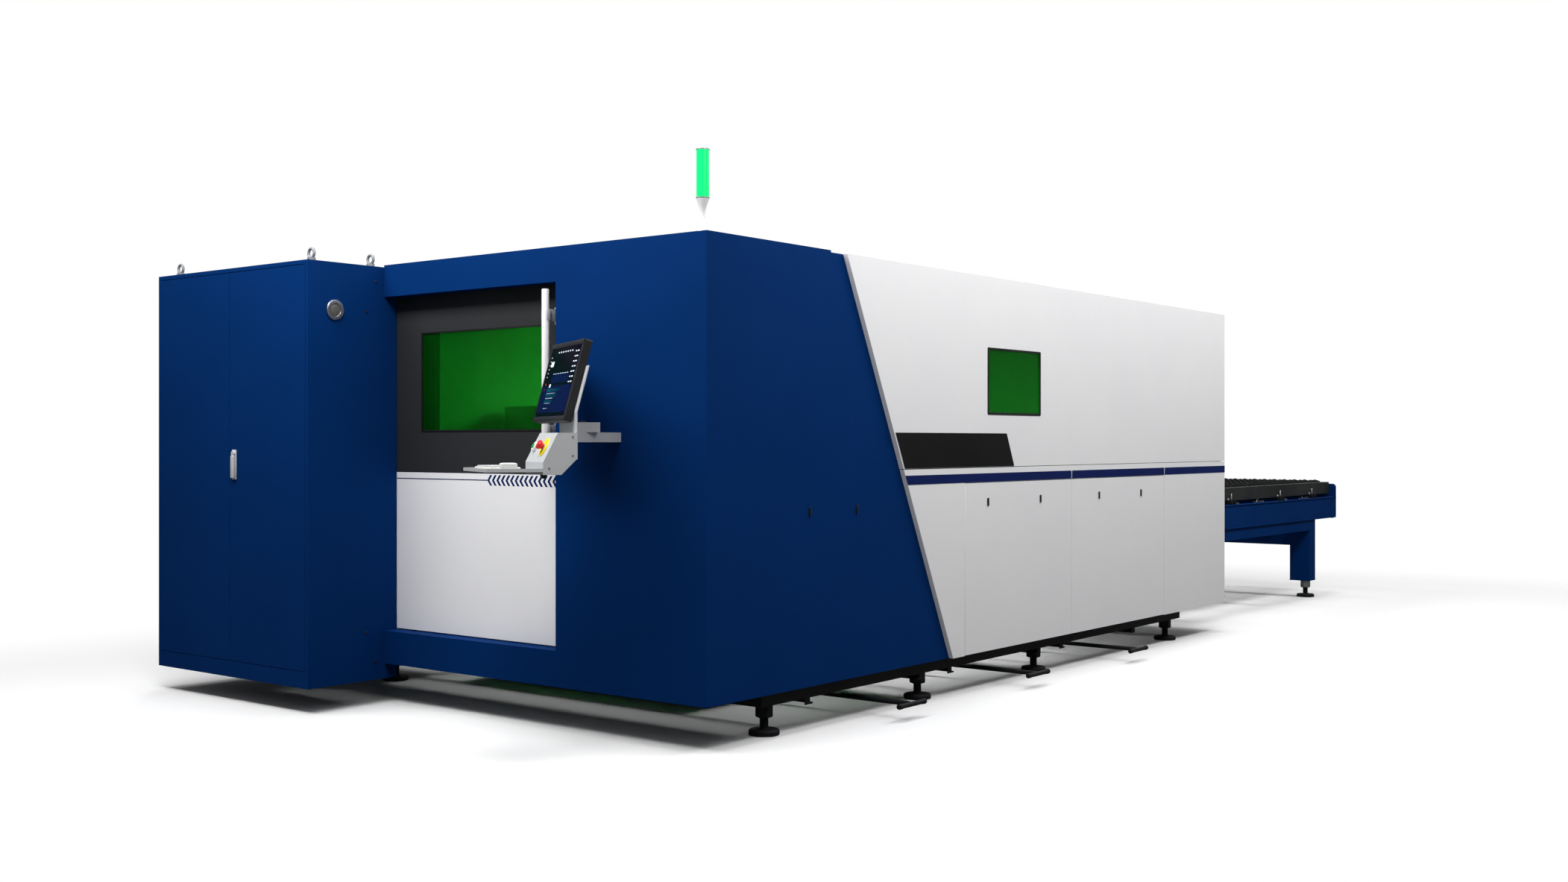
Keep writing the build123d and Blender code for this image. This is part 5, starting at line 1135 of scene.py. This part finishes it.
@dataclass
class ExchangeTable(SubAssembly):
    """Flanges, guide pins and bolts of the exchange table."""

    right: float = -310.0
    left: float = -2520.0
    front: float = 5480.0
    rear: float = 8778.0
    beam_foot: float = 656.0
    beam_top: float = 838.0
    pallet_right: float = -360.0
    pallet_left: float = -2470.0
    pin_stations: tuple[float, ...] = (6520.0, 7545.0, 8280.0)
    pin_radius: float = 6.0
    foot_high: float = 38.0
    nut_radius: float = 10.0
    nut_offset: float = 62.0
    leg_front: float = 8150.0
    leg_rear: float = 8285.0
    leg_reach: float = 177.0
    leg_foot: float = 140.0
    bolt_levels: tuple[float, ...] = (700.0, 795.0)

    def build(self) -> None:
        """Makes the table's details."""
        self.flanges()
        self.end_plate_bolts()
        self.guide_pins()
        self.stiffeners()

    def sides(self) -> tuple[tuple[float, int], ...]:
        """Outer faces of the two side channels with the direction that they face."""
        return ((self.right, 1), (self.left, -1))

    def flanges(self) -> None:
        """Rolled lips along the top and the foot of each side channel."""
        lips = []
        for face, way in self.sides():
            for z0, z1 in ((self.beam_top - 9, self.beam_top), (self.beam_foot, self.beam_foot + 9)):
                a, b = sorted((face, face + way * 7))
                lips.append(slab("lip", (a, self.front + 6, z0), (b, self.rear - 2, z1), 2.0))
        self.add(joined("table_channel_lips", lips), BLUE)

    def end_plate_bolts(self) -> None:
        """Bolts that hold the end plate."""
        spots = [(x, z) for x in (self.right - 30, self.right - 60, self.left + 30, self.left + 60)
                 for z in self.bolt_levels]
        places = [facing(Way.REAR, x, self.rear + 12.0, z) for x, z in spots]
        self.add(bolts("table_end_bolts", places, 9.0), ZINC)

    def guide_pins(self) -> None:
        """Bright pins on feet beside the pallet, which keep it straight, each with a stop nut in front."""
        radius, wide, offset = self.pin_radius, self.nut_radius, self.nut_offset
        pin = turned("pin", ((4.5, 0.0), (radius, 0.0), (radius, 38.0), (4.8, 41.0), (3.5, 42.0)), HOME, 24)
        nut = turned("nut", ((wide - 1, 0.0), (wide, 1.0), (wide, 7.0), (wide - 1, 8.0), (5.0, 8.0),
                             (5.0, 13.0), (4.0, 14.0)), HOME, 6)
        low, high = self.beam_top, self.beam_top + self.foot_high
        pins, nuts, feet = [], [], []
        for face, way, pallet in ((self.right, 1, self.pallet_right), (self.left, -1, self.pallet_left)):
            x = pallet + way * 14
            a, b = sorted((pallet + way * 4, face - way * 2))
            for y in self.pin_stations:
                pins.append(facing(Way.UP, x, y, high))
                nuts.append(facing(Way.UP, x, y - offset, high - 4))
                feet.append(slab("foot", (a, y - 10, low), (b, y + 10, high), 1.2))
                feet.append(slab("foot", (a, y - offset - 10, low), (b, y - offset + 10, high - 4), 1.2))
        self.add(repeated("pallet_guide_pins", pin, pins), ALUMINIUM)
        self.add(repeated("pallet_stop_nuts", nut, nuts), ALUMINIUM)
        self.add(joined("pallet_guide_feet", feet), BLACK)

    def stiffeners(self) -> None:
        """Foot flange of each leg."""
        plates = []
        for face, way in self.sides():
            a, b = sorted((face - way * 8, face - way * self.leg_reach))
            plates.append(slab("flange", (a, self.leg_front - 8, self.leg_foot),
                               (b, self.leg_rear + 8, self.leg_foot + 8), 1.5))
        self.add(joined("table_leg_flanges", plates), BLUE)


# Underside


@dataclass
class Underside(SubAssembly):
    """Levelling feet and drawer details under the casing."""

    casing_stations: tuple[tuple[float, float], ...] = tuple(
        (x, y) for y in (520.0, 1780.0, 3000.0, 4790.0) for x in (-107.0, -2723.0))
    table_stations: tuple[tuple[float, float], ...] = ((-378.0, 8217.5), (-2452.0, 8217.5))
    drawer_stations: tuple[float, ...] = (1240.0, 2470.0, 3700.0)
    pull_x: float = 215.0
    pull_z: float = 75.0
    pull_long: float = 220.0
    thread_count: int = 13

    def build(self) -> None:
        """Makes the feet and the drawers' ends."""
        self.feet()
        self.drawer_ends()

    def feet(self) -> None:
        """Round pads on rubber soles, threaded stems and deep lock nuts under the rails."""
        casing = [facing(Way.UP, x, y, 0.0) for x, y in self.casing_stations]
        table = [facing(Way.UP, x, y, 0.0) for x, y in self.table_stations]
        places = casing + table
        sole = turned("sole", ((68.0, 0.0), (70.0, 1.5), (70.0, 5.0)), HOME, 56)
        soles = self.add(repeated("foot_soles", sole, places), RUBBER)
        pad = turned("pad", ((70.5, 5.0), (70.5, 17.5), (69.3, 21.5), (66.4, 24.6), (62.0, 26.0),
                             (26.0, 26.0), (25.0, 29.0), (23.0, 30.0)), HOME, 56)
        self.add(repeated("foot_pads", pad, places), BLACK)
        thread = [(18.5, 29.0)]
        for i in range(self.thread_count):
            thread.append((20.5, 31.0 + 4 * i))
            thread.append((18.5, 33.0 + 4 * i))
        stem = turned("stem", thread + [(18.5, 84.0)], HOME, 32, 20.0)
        self.add(repeated("foot_stems", stem, places), BLACK)
        for name, spots, finish in (("foot_nuts", casing, BLACK), ("table_foot_nuts", table, ZINC)):
            nut = turned("nut", ((33.0, 78.0), (40.0, 82.0), (40.0, 134.0), (34.0, 139.5)), HOME, 6)
            self.add(repeated(name, nut, spots), finish)
        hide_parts("levelling_feet")

    def drawer_ends(self) -> None:
        """Plastic end caps on the drawers' cross bars."""
        for i, y in enumerate(self.drawer_stations, 1):
            caps = [turned("cap", ((13.6, 0.0), (13.6, 20.0), (12.6, 23.0), (8.0, 24.0)),
                           facing(way, self.pull_x, y + side * (self.pull_long / 2 - 20), self.pull_z), 32)
                    for way, side in ((Way.REAR, 1), (Way.FRONT, -1))]
            self.add(joined(f"drawer_{i}_caps", caps), RUBBER, f"drawer_{i}")


# Rear gate


@dataclass
class RearGate(SubAssembly):
    """Ribs and grip of the lifting gate."""

    body: str = "gate"
    left: float = -2491.0
    right: float = -339.0
    foot: float = 1006.0
    high: float = 410.0
    face: float = 5498.3
    rib_count: int = 5

    def build(self) -> None:
        """Makes the ribs and the grip."""
        step = (self.right - self.left - 200) / (self.rib_count - 1)
        ribs = [slab("rib", (self.left + 80 + step * i, self.face, self.foot + 30),
                     (self.left + 120 + step * i, self.face + 7, self.foot + self.high - 30), 2.5)
                for i in range(self.rib_count)]
        self.add(joined("gate_ribs", ribs), CHARCOAL)
        middle = (self.left + self.right) / 2
        grip = slab("gate_grip", (middle - 90, self.face, self.foot + 12),
                    (middle + 90, self.face + 7, self.foot + 28), 3.0)
        self.add(grip, ABS_BLACK)


# Studio


@dataclass
class Studio:
    """Camera, floor, world and lamps round the machine."""

    lens_mm: float = 35.79
    sensor_mm: float = 36.0
    view_far: float = 400.0
    yaw_deg: float = 37.99
    eye_height: float = 1.3227
    eye_right: float = 4.2884
    eye_front: float = 4.9618
    world_level: float = 0.22
    floor_glow_from: float = 0.5
    floor_glow_full: float = 2.8
    floor_size: float = 240.0
    floor_seen: str = "#E2E2E2"
    floor_lit: str = "#6A6A6A"

    def build(self) -> None:
        """Makes the whole studio."""
        self.camera()
        self.world()
        self.floor()
        self.lamps()

    def camera(self) -> None:
        """Puts the camera where the photograph was taken from."""
        low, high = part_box("front_cover")
        data = bpy.data.cameras.new("view")
        data.lens = self.lens_mm
        data.sensor_width = self.sensor_mm
        data.clip_end = self.view_far
        camera = bpy.data.objects.new("view", data)
        bpy.context.scene.collection.objects.link(camera)
        camera.location = (high[0] + self.eye_right, low[1] - self.eye_front, self.eye_height)
        camera.rotation_euler = (radians(90), 0.0, radians(self.yaw_deg))
        bpy.context.scene.camera = camera

    def world(self) -> None:
        """White to the camera, straight or through glass, and a plain soft level for lighting."""
        world = bpy.data.worlds.new("studio")
        bpy.context.scene.world = world
        world.use_nodes = True
        tree = world.node_tree
        tree.nodes.clear()
        seen = self.seen(tree)
        strength = add_node(tree, "ShaderNodeMapRange", inputs={
            "Value": seen, "To Min": self.world_level, "To Max": 1.0})
        shader = add_node(tree, "ShaderNodeBackground", inputs={
            "Color": PLAIN_WHITE, "Strength": strength.outputs[0]})
        add_node(tree, "ShaderNodeOutputWorld", inputs={"Surface": shader.outputs[0]})

    def seen(self, tree: Tree) -> Socket:
        """Whether a ray comes from the camera, straight or through glass.

        Args:
            tree: Tree that gets the nodes.

        Returns:
            One for such a ray, else zero.
        """
        path = add_node(tree, "ShaderNodeLightPath")
        return add_node(tree, "ShaderNodeMath", {"operation": "MAXIMUM"}, {
            0: path.outputs["Is Camera Ray"], 1: path.outputs["Is Transmission Ray"]}).outputs[0]

    def beyond(self, tree: Tree) -> Socket:
        """Distance of a floor point from the machine's outline, in metres.

        Args:
            tree: Tree that gets the nodes.

        Returns:
            The distance, zero under the machine.
        """
        def step(operation: str, *terms: object) -> Socket:
            """One vector step between earlier results or plain points."""
            made = add_node(tree, "ShaderNodeVectorMath", {"operation": operation}, dict(enumerate(terms)))
            return made.outputs["Value" if operation == "LENGTH" else "Vector"]

        low, high = CAD_BOX
        place = add_node(tree, "ShaderNodeTexCoord").outputs["Object"]
        middle = ((low[0] + high[0]) / 2, (low[1] + high[1]) / 2, 0.0)
        # Height doesn't count: no point of the floor is that far above or below its own level.
        half = ((high[0] - low[0]) / 2, (high[1] - low[1]) / 2, 9.0)
        over = step("SUBTRACT", step("ABSOLUTE", step("SUBTRACT", place, middle)), half)
        return step("LENGTH", step("MAXIMUM", over, (0.0, 0.0, 0.0)))

    def floor(self) -> None:
        """Large pale floor that keeps the machine's soft shadow and turns plain white away from it."""
        deselect()
        bpy.ops.mesh.primitive_plane_add(size=self.floor_size, location=(0.0, 0.0, 0.0))
        floor = bpy.context.object
        floor.name = "floor"
        material = bpy.data.materials.new("White studio floor")
        material.use_nodes = True
        tree = material.node_tree
        tree.nodes.clear()
        seen = self.seen(tree)
        colour = add_node(tree, "ShaderNodeMix", {"data_type": "RGBA"}, {
            0: seen, 6: linear(self.floor_lit), 7: linear(self.floor_seen)})
        matt = add_node(tree, "ShaderNodeBsdfDiffuse", inputs={"Color": colour.outputs[2]})
        light = add_node(tree, "ShaderNodeEmission", inputs={"Color": PLAIN_WHITE, "Strength": 1.0})
        fade = add_node(tree, "ShaderNodeMapRange", {"interpolation_type": "SMOOTHSTEP"}, {
            "Value": self.beyond(tree), "From Min": self.floor_glow_from, "From Max": self.floor_glow_full})
        share = add_node(tree, "ShaderNodeMath", {"operation": "MULTIPLY"}, {0: seen, 1: fade.outputs[0]})
        mix = add_node(tree, "ShaderNodeMixShader", inputs={
            0: share.outputs[0], 1: matt.outputs[0], 2: light.outputs[0]})
        add_node(tree, "ShaderNodeOutputMaterial", inputs={"Surface": mix.outputs[0]})
        floor.data.materials.append(material)

    def lamps(self) -> None:
        """Soft lamps above and round the machine, and one inside the casing."""
        self.sun("sky", 1.1, 16.0)
        self.lamp("right", (3.6, 0.9, 4.3), (1.6, 0.9, 1.6), (0.9, 9.6), 225.0)
        self.lamp("corner", (4.1, -4.3, 3.7), (1.6, -2.6, 1.9), (1.3, 1.3), 34.0)
        self.lamp("front", (0.2, -5.9, 4.2), (0.2, -4.0, 1.3), (4.6, 1.0), 200.0)
        self.lamp("left", (-6.2, 0.5, 7.6), (-1.8, 0.5, 1.0), (3.0, 3.4), 210.0)
        self.lamp("rear", (0.2, 10.4, 8.2), (0.2, 1.5, 1.0), (3.4, 3.0), 230.0)
        self.lamp("inside", (0.2, -1.2, 2.12), (0.2, -1.2, 0.0), (1.6, 1.6), 60.0)

    def sun(self, name: str, level: float, spread: float) -> None:
        """Adds a light that falls straight down.

        Args:
            name: Name of the light.
            level: Its strength.
            spread: Angle of its disc, in degrees, which softens the shadow.
        """
        data = bpy.data.lights.new(name, "SUN")
        data.energy = level
        data.angle = radians(spread)
        bpy.context.scene.collection.objects.link(bpy.data.objects.new(name, data))

    def lamp(self, name: str, place: Point, target: Point, size: tuple[float, float], watts: float) -> None:
        """Adds one rectangular area lamp.

        Args:
            name: Name of the lamp.
            place: Where it hangs.
            target: Point it faces.
            size: Its extent across and along, in metres.
            watts: Its power.
        """
        data = bpy.data.lights.new(name, "AREA")
        data.shape = "RECTANGLE"
        data.size, data.size_y = size
        data.energy = watts
        lamp = bpy.data.objects.new(name, data)
        lamp.location = place
        aim = (Vector(target) - Vector(place)).normalized()
        across = Vector((1.0, 0.0, 0.0)) if size[0] > size[1] else aim.cross(Vector((0.0, 1.0, 0.0)))
        turn = Matrix((across, (-aim).cross(across), -aim)).transposed()
        lamp.rotation_euler = turn.to_euler()
        bpy.context.scene.collection.objects.link(lamp)


def main() -> None:
    """Builds the studio and the machine, piece by piece."""
    logging.basicConfig(level=logging.INFO, format="%(message)s")
    bpy.context.scene.view_settings.view_transform = "Standard"
    dress_nodes()
    for group in (FrontDoor(), Cabinet(), Casing(), SignalTower(), Console(), Gantry(), ExchangeTable(),
                  Underside(), RearGate()):
        group.build()
    Studio().build()


if __name__ == "__main__":
    main()
